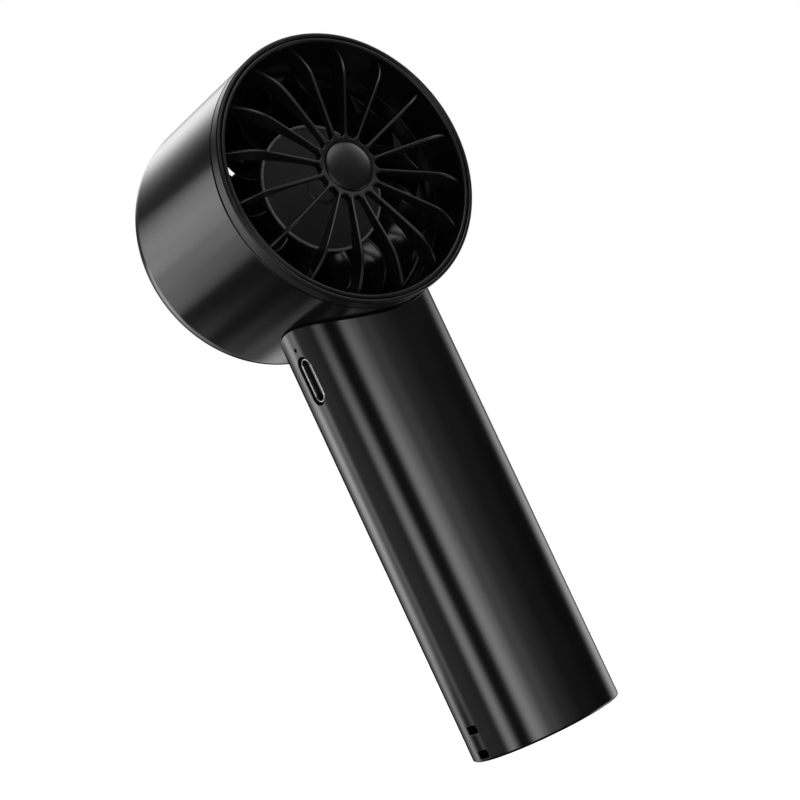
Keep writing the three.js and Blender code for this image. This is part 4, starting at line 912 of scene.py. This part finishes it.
# %% [markdown]
# A domed cover closes the motor's cup at the back. It is what shows in the middle of the rear
# grille, so it is turned smoothly too.

# %% Motor cover
TAIL_DOME = 3
COVER_LIP_DEPTH = 2
cover_front = FRAME_REAR + PARTING
lip_outer, lip_inner = HUB_RADIUS - 1.0, HUB_RADIUS - 1.8
place_piece("tail_cover", turned([
    *dome(HUB_RADIUS, cover_front, TAIL_DOME, 32),
    (lip_outer, cover_front, 0.05),
    (lip_outer, cover_front - COVER_LIP_DEPTH, 0.1),
    (lip_inner, cover_front - COVER_LIP_DEPTH, 0.1),
    (lip_inner, cover_front, 0.2),
    (0, cover_front + TAIL_DOME - 0.8, 0),
], segments=128), "fan_body", ["motor_cover"], inner_plastic)

# %% [markdown]
# ## Handle
#
# The handle is an oval aluminium tube whose top is cut to the barrel's curve. Its wall carries
# a charging port, a pin-hole for the charge light, two lanyard slots and, behind, the button.
#
# A tube with holes is easiest to draw flat. The wall is unrolled into a sheet of arc length
# and height, the holes are drawn in it, the sheet is filled with triangles around them, and
# then it is rolled up again. Each hole gets a rounded rim and a straight wall through the
# metal. The true surface direction is stored at every corner, so the long highlights on the
# oval stay perfectly straight.

# %% Unrolled oval
WALL = 1.2
COLUMNS = 288
SEAM = -math.pi / 4
fine_turns = np.linspace(SEAM, SEAM + 2 * math.pi, 14401)
step_lengths = np.hypot(
    np.diff(HANDLE_X * np.cos(fine_turns)), np.diff(HANDLE_Y * np.sin(fine_turns))
)
fine_lengths = np.concatenate([[0], np.cumsum(step_lengths)])
girth = float(fine_lengths[-1])


def length_at(turn):
    return float(np.interp((turn - SEAM) % (2 * math.pi) + SEAM, fine_turns, fine_lengths))


def turn_at(length):
    return float(np.interp(length, fine_lengths, fine_turns))


def oval_normal(turn):
    return Vector((math.cos(turn) / HANDLE_X, math.sin(turn) / HANDLE_Y, 0)).normalized()


def oval_point(turn, inset, z):
    normal = oval_normal(turn)
    return Vector((HANDLE_X * math.cos(turn), HANDLE_Y * math.sin(turn), z)) - inset * normal


SHADOW_GAP = 0.3
SADDLE_RADIUS = BARREL_RADIUS + SHADOW_GAP


def saddle(x):
    """Height of the handle's top edge at x: the barrel's curve with a shadow gap."""
    return AXIS_HEIGHT - math.sqrt(SADDLE_RADIUS ** 2 - x * x)


print(f"girth {girth:.1f}, top edge {saddle(0):.1f} to {saddle(HANDLE_X):.1f}")


# %% [markdown]
# A hole is described by an outline that can be grown, so the same function gives its rounded
# rim. The ports and slots are drilled along X from the left, the button's hole along Y from
# behind.

# %% Hole outlines
def pill(half_wide, half_tall, corner, grow=0.0, count=10):
    """A rounded slot's outline about the origin, grown by grow."""
    corner_now = corner + grow
    right, top = half_wide - corner, half_tall - corner
    outline = []
    for quarter, (u, v) in enumerate(((right, top), (-right, top), (-right, -top), (right, -top))):
        meets_next = right == 0 if quarter % 2 == 0 else top == 0
        for i in range(count if meets_next else count + 1):
            angle = math.pi / 2 * (quarter + i / count)
            outline.append((
                u + corner_now * math.cos(angle), v + corner_now * math.sin(angle),
                math.cos(angle), math.sin(angle),
            ))
    return outline


PORT_Y, PORT_Z = -0.4, 77.7
PORT_HALF_WIDE, PORT_HALF_TALL = 3.26 / 2, 8.94 / 2
PORT_MARGIN = 0.4
PORT_HOLE_WIDE, PORT_HOLE_TALL = PORT_HALF_WIDE + PORT_MARGIN, PORT_HALF_TALL + PORT_MARGIN
LED_Y, LED_Z = 0.0, 84.2
LED_RADIUS = 0.42
SLOT_HEIGHTS = (1.4, 6.3)
BUTTON_Z = 77
BUTTON_HOLE = 5.2
HOLES = [
    dict(side="left", centre=(PORT_Y, PORT_Z), rim=0.14, count=12,
         size=(PORT_HOLE_WIDE, PORT_HOLE_TALL, PORT_HOLE_WIDE - 0.02)),
    dict(side="left", centre=(LED_Y, LED_Z), rim=0.07, count=5, size=(LED_RADIUS,) * 3),
    *[dict(side="left", centre=(0, z), rim=0.09, count=5, size=(1.6, 0.8, 0.4)) for z in SLOT_HEIGHTS],
    dict(side="back", centre=(0, BUTTON_Z), rim=0.2, count=16, size=(BUTTON_HOLE,) * 3),
]


# %% Points along a hole
def hole_place(side, across, z, depth):
    """A point at this distance below the outer surface, straight along the hole's axis."""
    if side == "left":
        return Vector((-HANDLE_X * math.sqrt(1 - (across / HANDLE_Y) ** 2) + depth, across, z))
    return Vector((across, HANDLE_Y * math.sqrt(1 - (across / HANDLE_X) ** 2) - depth, z))


def hole_turn(side, across, inset):
    if side == "left":
        return math.pi - math.asin(across / (HANDLE_Y - inset))
    return math.acos(across / (HANDLE_X - inset))


def inner_depth(side, across):
    """Depth of the inner surface straight below the outer one."""
    if side == "left":
        a, b = HANDLE_X, HANDLE_Y
    else:
        a, b = HANDLE_Y, HANDLE_X
    outer = a * math.sqrt(1 - (across / b) ** 2)
    return outer - (a - WALL) * math.sqrt(1 - (across / (b - WALL)) ** 2)


# %% [markdown]
# The skin keeps a surface direction for each corner of each face. The flat sheet is filled
# with a Delaunay triangulation, which respects the border and the holes. Along a straight
# border it also leaves slivers, triangles whose three points lie on one line. They would
# double the border's edges, so a triangle is dropped when twice its area is under SLIVER.

# %% Skin and sheet
class Skin:
    """Points and faces that remember a surface direction for every corner of every face."""

    def __init__(self):
        self.points, self.faces, self.normals = [], [], []

    def add(self, point):
        self.points.append(point)
        return len(self.points) - 1

    def face(self, corners, normals):
        a, b, c = (self.points[i] for i in corners[:3])
        if (b - a).cross(c - a).dot(normals[0]) < 0:
            corners, normals = corners[::-1], normals[::-1]
        self.faces.append(tuple(corners))
        self.normals += normals

    def object(self, name):
        obj = new_object(name, self.points, self.faces)
        obj.data.shade_smooth()
        obj.data.normals_split_custom_set(self.normals)
        return obj


SLIVER = 1e-4
SHEET_ROWS = 36
HOLE_CLEARANCE = 0.35


def fill_sheet(skin, border, loops, inset, sign):
    """Fills the unrolled wall between its border and its holes. Entries are (u, z, index)."""
    low, high = border
    flat, indices = [], []

    def put(u, z, index):
        flat.append(Vector((u, z)))
        indices.append(index)
        return len(flat) - 1

    edges = []
    rows = []
    for row in (low, high):
        ids = [put(u, z, index) for u, z, index in row]
        edges += list(zip(ids[:-1], ids[1:]))
        rows.append(ids)
    low_u = [u for u, _, _ in low]
    high_u, high_z = [u for u, _, _ in high], [z for _, z, _ in high]
    bottom = low[0][1]
    left, right = [rows[0][0]], [rows[0][-1]]
    for z in np.linspace(bottom, high_z[0], SHEET_ROWS)[1:-1]:
        index = skin.add(oval_point(SEAM, inset, z))
        left.append(put(0, z, index))
        right.append(put(girth, z, index))
    left.append(rows[1][0])
    right.append(rows[1][-1])
    for side in (left, right):
        edges += list(zip(side[:-1], side[1:]))
    outlines = []
    for loop in loops:
        ids = [put(u, z, index) for u, z, index in loop]
        edges += list(zip(ids, ids[1:] + ids[:1]))
        outlines.append(np.array([(u, z) for u, z, _ in loop]))
    for u in low_u[1:-1]:
        top = float(np.interp(u, high_u, high_z))
        for z in np.linspace(bottom, top, SHEET_ROWS)[1:-1]:
            near = min(float(np.hypot(*(outline - (u, z)).T).min()) for outline in outlines)
            if near > HOLE_CLEARANCE and not any(inside(outline, u, z) for outline in outlines):
                put(u, z, skin.add(oval_point(turn_at(u), inset, z)))
    verts, _, triangles, origins, _, _ = delaunay_2d_cdt(flat, edges, [], 0, 1e-6)
    for triangle in triangles:
        a, b, c = (verts[i] for i in triangle)
        if abs((b - a).cross(c - a)) < SLIVER:
            continue
        u, z = (a + b + c) / 3
        if z > float(np.interp(u, high_u, high_z)) or any(inside(o, u, z) for o in outlines):
            continue
        corners = [indices[origins[i][0]] for i in triangle]
        normals = [sign * oval_normal(turn_at(verts[i].x)) for i in triangle]
        skin.face(corners, normals)


def inside(outline, u, z):
    """Whether a flat point lies inside a closed outline."""
    after = np.roll(outline, -1, axis=0)
    crosses = (outline[:, 1] > z) != (after[:, 1] > z)
    rise = np.where(crosses, after[:, 1] - outline[:, 1], 1)
    at = outline[:, 0] + (z - outline[:, 1]) / rise * (after[:, 0] - outline[:, 0])
    return bool(np.sum(crosses & (u < at)) % 2)


# %% [markdown]
# The wall's foot and top edge are rounded too. Both edges are made column by column, as a
# profile of the wall's thickness, and the flat sheets join them later.

# %% Foot and top edge
BOTTOM_EDGE = 0.5
TOP_EDGE = 0.16
skin = Skin()
columns = [turn_at(girth * i / COLUMNS) for i in range(COLUMNS)]
profiles = []
for turn in columns:
    outer_top = saddle(HANDLE_X * math.cos(turn))
    inner_top = saddle((HANDLE_X - WALL) * math.cos(turn))
    profiles.append(rounded([
        (WALL, 0, 0.15), (0, 0, BOTTOM_EDGE), (0, outer_top, TOP_EDGE), (WALL, inner_top, 0.12),
    ]))
arc_length = FILLET_STEPS + 1
grid = [[skin.add(oval_point(t, p.x, p.y)) for p in profile] for t, profile in zip(columns, profiles)]


def saddle_normal(x):
    return Vector((-x, 0, math.sqrt(SADDLE_RADIUS ** 2 - x * x))).normalized()


NEARLY_OPPOSITE = 3.1


def profile_normals(turn):
    """Surface direction at every point of a wall profile."""
    out = oval_normal(turn)
    down = Vector((0, 0, -1))
    top = saddle_normal(HANDLE_X * math.cos(turn))
    found = []
    for start, end in ((-out, down), (down, out), (out, top), (top, -out)):
        for k in range(arc_length):
            share = k / FILLET_STEPS
            between = start.slerp if start.angle(end) < NEARLY_OPPOSITE else start.lerp
            found.append(between(end, share))
    return found


direction = [profile_normals(t) for t in columns]
BANDS = [range(0, 2 * arc_length - 1), range(2 * arc_length, 4 * arc_length - 1)]
for i in range(COLUMNS):
    j = (i + 1) % COLUMNS
    for band in BANDS:
        for k in band:
            skin.face(
                [grid[i][k], grid[j][k], grid[j][k + 1], grid[i][k + 1]],
                [direction[i][k], direction[j][k], direction[j][k + 1], direction[i][k + 1]],
            )


def border_row(k):
    """The wall's row of points k as (u, z, index), with the seam's column at both ends."""
    row = [(girth * i / COLUMNS, profiles[i][k].y, grid[i][k]) for i in range(COLUMNS)]
    return row + [(girth, row[0][1], row[0][2])]


# %% [markdown]
# Each hole is a few rings that curve from the outer surface into the hole, and one more at
# the inner surface. Its first and last ring are also the loops round which the sheets are
# filled.

# %% Holes
RIM_STEPS = 5


def rim_ring(hole, angle):
    """A ring of the rounded rim, from the outer surface at 0 to the hole's wall at 90 degrees."""
    side, (across0, z0), rim = hole["side"], hole["centre"], hole["rim"]
    ring, facing = [], []
    for u, v, nu, nv in pill(*hole["size"], grow=rim * (1 - math.sin(angle)), count=hole["count"]):
        across, z = across0 + u, z0 + v
        ring.append(skin.add(hole_place(side, across, z, rim * (1 - math.cos(angle)))))
        out = oval_normal(hole_turn(side, across, 0))
        into = Vector((0, -nu, -nv)) if side == "left" else Vector((-nu, 0, -nv))
        facing.append((math.cos(angle) * out + math.sin(angle) * into).normalized())
    return ring, facing


def end_ring(hole):
    """The hole's ring at the inner surface."""
    side, (across0, z0) = hole["side"], hole["centre"]
    return [
        skin.add(hole_place(side, across0 + u, z0 + v, inner_depth(side, across0 + u)))
        for u, v, _, _ in pill(*hole["size"], count=hole["count"])
    ]


def sheet_loop(hole, ring, inset, grow=0.0):
    """A ring's points as (u, z, index) on the unrolled wall."""
    side, (across0, z0) = hole["side"], hole["centre"]
    outline = pill(*hole["size"], grow=grow, count=hole["count"])
    return [
        (length_at(hole_turn(side, across0 + u, inset)), z0 + v, index)
        for (u, v, _, _), index in zip(outline, ring)
    ]


outer_loops, inner_loops = [], []
for hole in HOLES:
    made = [rim_ring(hole, math.pi / 2 * k / RIM_STEPS) for k in range(RIM_STEPS + 1)]
    rings = [ring for ring, _ in made] + [end_ring(hole)]
    facings = [facing for _, facing in made] + [made[-1][1]]
    outer_loops.append(sheet_loop(hole, rings[0], 0, grow=hole["rim"]))
    inner_loops.append(sheet_loop(hole, rings[-1], WALL))
    count = len(rings[0])
    for k in range(len(rings) - 1):
        for i in range(count):
            j = (i + 1) % count
            skin.face(
                [rings[k][i], rings[k][j], rings[k + 1][j], rings[k + 1][i]],
                [facings[k][i], facings[k][j], facings[k + 1][j], facings[k + 1][i]],
            )

# %% Fill the sheets and finish the handle
outer_border = (border_row(2 * arc_length - 1), border_row(2 * arc_length))
inner_border = (border_row(0), border_row(4 * arc_length - 1))
fill_sheet(skin, outer_border, outer_loops, 0, 1)
fill_sheet(skin, inner_border, inner_loops, WALL, -1)
handle = skin.object("handle_tube_wall")
handle.data.materials.append(black_metal)
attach(handle, "fan_body")
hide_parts("handle_tube")
edge_uses = np.bincount([loop.edge_index for loop in handle.data.loops])
print(f"handle: {len(handle.data.polygons)} faces, open edges {int((edge_uses != 2).sum())}")

# %% [markdown]
# ## Bottom cap
#
# A plastic plug closes the tube's foot. Behind the two lanyard slots it has a bent channel, so
# a cord can be threaded in through one slot and out through the other. The channel is cut by a
# block, as the mould's slide would leave it.

# %% Bottom cap
CAP_X, CAP_Y = HANDLE_X - WALL - FIT, HANDLE_Y - WALL - FIT
PLUG_THICK = 3
BLOCK_DEEP, BLOCK_HALF, BLOCK_TOP = 3.7, 4, 8.6
CHANNEL_DEEP, CHANNEL_HALF = 2.4, 1.75
CHANNEL_LOW, CHANNEL_HIGH = 0.6, 7.25


def oval_slab(half_x, half_y, low, high, edge):
    """An oval block with rounded lower and upper edges."""
    rings = []
    for k in range(FILLET_STEPS + 1):
        angle = math.pi / 2 * k / FILLET_STEPS
        inset = edge * (1 - math.sin(angle))
        rings.append(oval_ring(half_x - inset, half_y - inset, low + edge * (1 - math.cos(angle))))
    for k in range(FILLET_STEPS + 1):
        angle = math.pi / 2 * k / FILLET_STEPS
        inset = edge * (1 - math.cos(angle))
        rings.append(oval_ring(half_x - inset, half_y - inset, high - edge * (1 - math.sin(angle))))
    return stack(rings)


cap_floor = new_object("foot_plug", *oval_slab(CAP_X, CAP_Y, 0, PLUG_THICK, 0.25))
block = new_object("block", *slab(
    (-CAP_X - 1, -BLOCK_HALF, PLUG_THICK / 2), (-CAP_X + BLOCK_DEEP, BLOCK_HALF, BLOCK_TOP),
))
trim = new_object("trim", *oval_slab(CAP_X, CAP_Y, 1, BLOCK_TOP, 0.2))
combined(block, trim, "INTERSECT")
combined(cap_floor, block, "UNION")
channel = new_object("channel", *slab(
    (-CAP_X - 1, -CHANNEL_HALF, CHANNEL_LOW), (-CAP_X + CHANNEL_DEEP, CHANNEL_HALF, CHANNEL_HIGH),
))
combined(cap_floor, channel, "DIFFERENCE")
dress(cap_floor, "fan_body", ["bottom_cap"], black_plastic)


# %% [markdown]
# ## Charging port and light
#
# The socket's shell is a bent steel sleeve with a rounded mouth. Inside it a thin tongue
# carries rows of copper contacts on both faces. The shell sits a little back from the handle's
# surface, so a dark gap runs around it.

# %% Charging port
def left_ring(y, z, outline, x):
    return [Vector((x, y + u, z + v)) for u, v, _, _ in outline]


PORT_MOUTH = -HANDLE_X + 0.45
PORT_BACK = PORT_MOUTH + 7.3
PORT_WALL = 0.36
PORT_CORNER = PORT_HALF_WIDE * 0.99


def port_outline(inset):
    return pill(PORT_HALF_WIDE, PORT_HALF_TALL, PORT_CORNER, grow=-inset, count=16)


shell_rings = [left_ring(PORT_Y, PORT_Z, port_outline(0), PORT_BACK)]
for k in range(9):
    angle = math.pi * k / 8
    inset = PORT_WALL / 2 * (1 - math.cos(angle))
    x = PORT_MOUTH + PORT_WALL / 2 * (1 - math.sin(angle))
    shell_rings.append(left_ring(PORT_Y, PORT_Z, port_outline(inset), x))
shell_rings.append(left_ring(PORT_Y, PORT_Z, port_outline(PORT_WALL), PORT_BACK - PORT_WALL))
place_piece("port_sleeve", stack(shell_rings), "fan_body", ["usb_shell"], port_steel)

TONGUE_HALF_THICK = 0.35
TONGUE_HALF_TALL = PORT_HALF_TALL - 1.2
tongue_outline = [
    pill(TONGUE_HALF_THICK - inset, TONGUE_HALF_TALL - inset, 0.12, count=4) for inset in (0.1, 0)
]
tongue_back = PORT_BACK - PORT_WALL - FIT
tongue = stack([
    left_ring(PORT_Y, PORT_Z, tongue_outline[0], PORT_MOUTH + 0.8),
    left_ring(PORT_Y, PORT_Z, tongue_outline[1], PORT_MOUTH + 0.9),
    left_ring(PORT_Y, PORT_Z, tongue_outline[1], tongue_back - 0.1),
])
tongue_base = stack([
    left_ring(PORT_Y, PORT_Z, port_outline(PORT_WALL + FIT), x) for x in (tongue_back - 1.2, tongue_back)
])
place_piece(
    "port_tongue", joined([tongue, tongue_base]), "fan_body", ["usb_tongue"],
    port_plastic,
)
CONTACT_COUNT = 12
CONTACT_PITCH = 0.5
CONTACT_INSET = 1.3
contact_depths = (TONGUE_HALF_THICK - 0.05, TONGUE_HALF_THICK + 0.04)
contacts = []
for face in (-1, 1):
    low_y, high_y = sorted(PORT_Y + face * depth for depth in contact_depths)
    for k in range(CONTACT_COUNT):
        z = PORT_Z + (k - (CONTACT_COUNT - 1) / 2) * CONTACT_PITCH
        contacts.append(slab(
            (PORT_MOUTH + CONTACT_INSET, low_y, z - CONTACT_PITCH / 4),
            (tongue_back - CONTACT_INSET, high_y, z + CONTACT_PITCH / 4),
        ))
place_piece("port_contacts", joined(contacts), "fan_body", [], copper)

# %% [markdown]
# The charge light is a clear pin pressed in from inside. Its end is slightly domed and sits
# below the surface, so with the light off it reads as a dark dot.

# %% Light pipe
LIGHT_RADIUS = LED_RADIUS - 0.07
LIGHT_DOME = 0.1
light_face = -HANDLE_X + 0.3
light_back = span("light_pipe")[1].x
flange_front = -HANDLE_X + WALL + FIT
light_sections = [
    *[
        (LIGHT_RADIUS * share, light_face + LIGHT_DOME * share ** 2)
        for share in (0.1, 0.3, 0.5, 0.7, 0.85, 0.95, 1.0)
    ],
    (LIGHT_RADIUS, flange_front),
    (2 * LIGHT_RADIUS, flange_front),
    (2 * LIGHT_RADIUS, light_back),
]
light_rings = [
    left_ring(LED_Y, LED_Z, pill(radius, radius, radius, count=8), x)
    for radius, x in light_sections
]
place_piece("charge_light", stack(light_rings), "fan_body", ["light_pipe"], clear_plastic)


# %% [markdown]
# ## Button
#
# The speed button is a turned aluminium disc with a shallow dish for the thumb. A thin ring
# frames it. It moves with the button body, and the ring stays on the handle.

# %% Button and its ring
def button_point(radius, angle, y):
    return Vector((radius * math.cos(angle), y, BUTTON_Z + radius * math.sin(angle)))


BUTTON_RADIUS = 4.1
BUTTON_FACE = HANDLE_Y + 0.4
BUTTON_STEM = 1.5
FLANGE_RADIUS = 5.0
FLANGE_THICK = 0.7
DISH_RADIUS = 3.6
DISH_DEPTH = 0.22
DISH_RINGS = 9
button_low = span("power_button")[0].y
flange_back = BUTTON_FACE - 4
dish = [
    (DISH_RADIUS * share, BUTTON_FACE - DISH_DEPTH * (1 - share ** 2), 0)
    for share in (k / DISH_RINGS for k in range(DISH_RINGS, 0, -1))
]
place_piece("speed_button", turned([
    (0, button_low, 0),
    (BUTTON_STEM, button_low, 0.15),
    (BUTTON_STEM, flange_back - FLANGE_THICK, 0.1),
    (FLANGE_RADIUS, flange_back - FLANGE_THICK, 0.1),
    (FLANGE_RADIUS, flange_back, 0.1),
    (BUTTON_RADIUS, flange_back, 0.05),
    (BUTTON_RADIUS, BUTTON_FACE, 0.3),
    *dish,
    (0, BUTTON_FACE - DISH_DEPTH, 0),
], segments=160, place=button_point), "button", ["power_button"], button_metal)
ring_back = span("button_bezel")[0].y
ring_face = HANDLE_Y + 0.15
ring_inner, ring_outer = BUTTON_RADIUS + 0.15, BUTTON_RADIUS + 0.9
place_piece("button_ring", turned([
    (ring_inner, ring_back, 0.05),
    (ring_outer, ring_back, 0.1),
    (ring_outer, ring_face, 0.25),
    (ring_inner, ring_face, 0.2),
], segments=160, place=button_point), "fan_body", ["button_bezel"], button_metal)

# %% [markdown]
# ## What stays hidden
#
# The motor, battery and board are inside and keep their CAD shapes. They still get the right
# finish, because they show when the fan is opened or cut.

# %% Inner pieces
for part in frame["record"]["subparts"]:
    node = frame["nodes"][part["node"]]
    node.data.materials.clear()
    node.data.materials.append(FINISHES[part["material_slot"]])
    node.data.shade_smooth()
    node.data.set_sharp_from_angle(angle=math.radians(35))


# %% [markdown]
# ## Camera
#
# A black object needs a short telephoto: it keeps the barrel's circles nearly true, and the
# tilt of the camera leans the fan as if it were held in a hand. The camera is placed from the
# centre of the grille by two angles, a distance and a roll.

# %% Camera
AZIMUTH, ELEVATION, ROLL = (math.radians(a) for a in (-34.573, -3.445, -25.061))
DISTANCE, TO_RIGHT, TO_TOP = 374.66, -9.78, -43.15
FOCAL_LENGTH = 91.3
back = Vector((
    math.sin(AZIMUTH) * math.cos(ELEVATION), -math.cos(AZIMUTH) * math.cos(ELEVATION), math.sin(ELEVATION),
))
level_right = Vector((math.cos(AZIMUTH), math.sin(AZIMUTH), 0))
level_up = back.cross(level_right)
aim = Vector((0, FRONT_Y, AXIS_HEIGHT))
place = aim + DISTANCE * back + TO_RIGHT * level_right + TO_TOP * level_up
right = math.cos(ROLL) * level_right + math.sin(ROLL) * level_up
up = math.cos(ROLL) * level_up - math.sin(ROLL) * level_right
camera_data = bpy.data.cameras.new("camera")
camera_data.lens = FOCAL_LENGTH
camera_data.sensor_width = 36
camera_data.clip_start = 0.01
camera = bpy.data.objects.new("camera", camera_data)
camera.matrix_world = Matrix.Translation(place * MM) @ Matrix((right, up, back)).transposed().to_4x4()
bpy.context.scene.collection.objects.link(camera)
bpy.context.scene.camera = camera
print("camera at", [round(v, 1) for v in place])

# %% [markdown]
# ## Studio
#
# The room is white. A white room could come from more light, but that would bleach the fan.
# Here the world asks what kind of ray looks at it: the camera and sharp rays get plain white,
# and everything else gets a soft glow of half that strength. The floor glows a little itself.

# %% World and floor
FLOOR_RADIUS = 3000


def arithmetic(tree, operation, *terms):
    """A Math node. Each term is a number or the output of another node."""
    step = tree.nodes.new("ShaderNodeMath")
    step.operation = operation
    for socket, term in zip(step.inputs, terms):
        if isinstance(term, float):
            socket.default_value = term
        else:
            tree.links.new(term, socket)
    return step.outputs[0]


def background(tree, strength):
    glow = tree.nodes.new("ShaderNodeBackground")
    set_sockets(glow, {"Color": (1, 1, 1, 1), "Strength": strength})
    return glow.outputs[0]


bpy.context.scene.view_settings.view_transform = "Standard"
world = bpy.data.worlds.new("studio")
bpy.context.scene.world = world
world.use_nodes = True
tree = world.node_tree
tree.nodes.clear()
output = tree.nodes.new("ShaderNodeOutputWorld")
rays = tree.nodes.new("ShaderNodeLightPath").outputs
camera_or_glossy = arithmetic(tree, "MAXIMUM", rays["Is Camera Ray"], rays["Is Glossy Ray"])
any_sharp = arithmetic(tree, "MAXIMUM", camera_or_glossy, rays["Is Transmission Ray"])
mix = tree.nodes.new("ShaderNodeMixShader")
tree.links.new(any_sharp, mix.inputs["Fac"])
tree.links.new(background(tree, 0.5), mix.inputs[1])
tree.links.new(background(tree, 1.0), mix.inputs[2])
tree.links.new(mix.outputs[0], output.inputs["Surface"])

floor = new_object("floor", *stack([upright_ring(0, 0, FLOOR_RADIUS, z, 96) for z in (-1, 0)]))
floor_material, tree, shader = new_material("floor_white")
set_sockets(shader, {
    "Base Color": (0.8, 0.8, 0.8, 1), "Roughness": 1.0, "Specular IOR Level": 0.0,
    "Emission Color": (1, 1, 1, 1), "Emission Strength": 0.8,
})
floor.data.materials.append(floor_material)
floor.visible_glossy = False
floor.visible_shadow = False

# %% [markdown]
# ## Black felt
#
# Black metal has hardly any colour of its own. It shows what it mirrors, and in a white room
# it would look grey. So black felt hangs all round, and only mirrored rays see it. The floor
# is left out of reflections for the same reason. The price is that the metal doesn't mirror
# the white room that the camera sees, which a stricter studio would have it do.

# %% Felt
TENT_RADIUS = 2000
TENT_CENTRE = 100
felt, tree, shader = new_material("black_felt")
set_sockets(shader, {
    "Base Color": (0.002, 0.002, 0.002, 1), "Roughness": 1.0, "Specular IOR Level": 0.0,
})


def globe(radius, count=24):
    rings = []
    for k in range(count):
        angle = math.pi * (k + 0.5) / count - math.pi / 2
        height = TENT_CENTRE + radius * math.sin(angle)
        rings.append(upright_ring(0, 0, radius * math.cos(angle), height, 48))
    return stack(rings)


tent = new_object("felt_tent", *globe(TENT_RADIUS))
tent.data.materials.append(felt)
tent.visible_camera = False
tent.visible_shadow = False
tent.visible_diffuse = False
tent.visible_transmission = False

# %% [markdown]
# ## Soft boxes
#
# Inside the felt stand graded soft boxes. Each one is brightest in the middle and fades to
# nothing at its edges, so its reflection melts into the black. The tall ones beside the camera
# draw the long streaks on the handle, and the ones behind the fan light the barrel, which
# mirrors what is behind it. Some stand lower than the floor, which casts no shadow, so it lets
# their light through.
#
# The table wasn't planned. The light of each box was rendered apart, a least-squares solver
# found the strengths whose sum comes nearest to the wanted streaks, and they were rounded. The
# places came from earlier solving of the same kind and from trial, and two boxes were
# changed at the end. That ties the light to this camera and to these finishes. Few and
# plain boxes are the better start for another object.

# %% A graded soft box
LAMP_TARGET = Vector((0, 0, 80))
LAMP_DISTANCE = 600


def graded(tree, coordinate, power):
    """Sine of the coordinate over its 0 to 1 range, raised to a power."""
    turns = arithmetic(tree, "MULTIPLY", coordinate, math.pi)
    return arithmetic(tree, "POWER", arithmetic(tree, "SINE", turns), power)


def soft_box(name, azimuth, elevation, half_wide, half_tall, strength):
    """A graded box facing the fan. Azimuth 0 is in front of the grille, 90 on its +X side.

    half_wide and half_tall are angles as the fan sees them, strength is the glow at the middle.
    """
    a, e = math.radians(azimuth), math.radians(elevation)
    towards = Vector((math.sin(a) * math.cos(e), -math.cos(a) * math.cos(e), math.sin(e)))
    data = bpy.data.lights.new(name, "AREA")
    data.shape = "RECTANGLE"
    data.size = 2 * LAMP_DISTANCE * math.tan(math.radians(half_wide)) * MM
    data.size_y = 2 * LAMP_DISTANCE * math.tan(math.radians(half_tall)) * MM
    data.energy = math.pi * data.size * data.size_y * strength
    data.use_nodes = True
    tree = data.node_tree
    across = tree.nodes.new("ShaderNodeSeparateXYZ")
    tree.links.new(tree.nodes.new("ShaderNodeTexCoord").outputs["UV"], across.inputs["Vector"])
    sideways = graded(tree, across.outputs["X"], 2.0)
    upwards = graded(tree, across.outputs["Y"], 0.5)
    glow = arithmetic(tree, "MULTIPLY", sideways, upwards)
    tree.links.new(glow, tree.nodes["Emission"].inputs["Strength"])
    box = bpy.data.objects.new(name, data)
    place = LAMP_TARGET + LAMP_DISTANCE * towards
    turn = towards.to_track_quat("Z", "Y").to_matrix().to_4x4()
    box.matrix_world = Matrix.Translation(place * MM) @ turn
    box.visible_camera = False
    bpy.context.scene.collection.objects.link(box)


# %% The soft boxes
BOXES = [
    ("left_strip", -85, -11, 14, 20, 2.8),
    ("front_left_box", -46, -11, 13, 22, 2.95),
    ("front_left_soft", -35, -9, 12, 19, 1.55),
    ("front_soft", -22, -10, 22, 22, 0.57),
    ("front_fill", -6, -7, 34, 20, 0.31),
    ("front_right_fill", 30, 1, 35, 22, 0.07),
    ("front_top", 18, 41, 31, 17, 3.3),
    ("right_high", 70, 23, 28, 14, 2.7),
    ("right_rim", 107, -13, 24, 22, 1.3),
    ("right_foot", 84, -43, 29, 15, 2.8),
    ("right_low", 162, -27, 12, 10, 1.24),
    ("back_right_high", 160, 35, 17, 14, 1.9),
    ("back_high", 173, 40, 15, 13, 0.67),
    ("back_rise", -172, 30, 14, 12, 0.13),
    ("back_edge", 178, -13, 9, 35, 0.35),
    ("back_strip", -172, -10, 8, 22, 0.43),
    ("back_left_wide", -166, -4, 14, 20, 1.1),
    ("back_left", -157, 2, 13, 13, 1.95),
    ("back_left_rise", -152, 20, 16, 12, 1.23),
    ("back_left_high", -142, 24, 21, 14, 0.56),
    ("back_left_soft", -140, 12, 14, 12, 0.68),
    ("back_left_eye", -144, 0, 11, 12, 0.7),
    ("back_left_strip", -137, 8, 8, 28, 0.8),
    ("left_fill", -117, 0, 35, 28, 0.26),
]
for box in BOXES:
    soft_box(*box)
print("soft boxes:", len(BOXES))
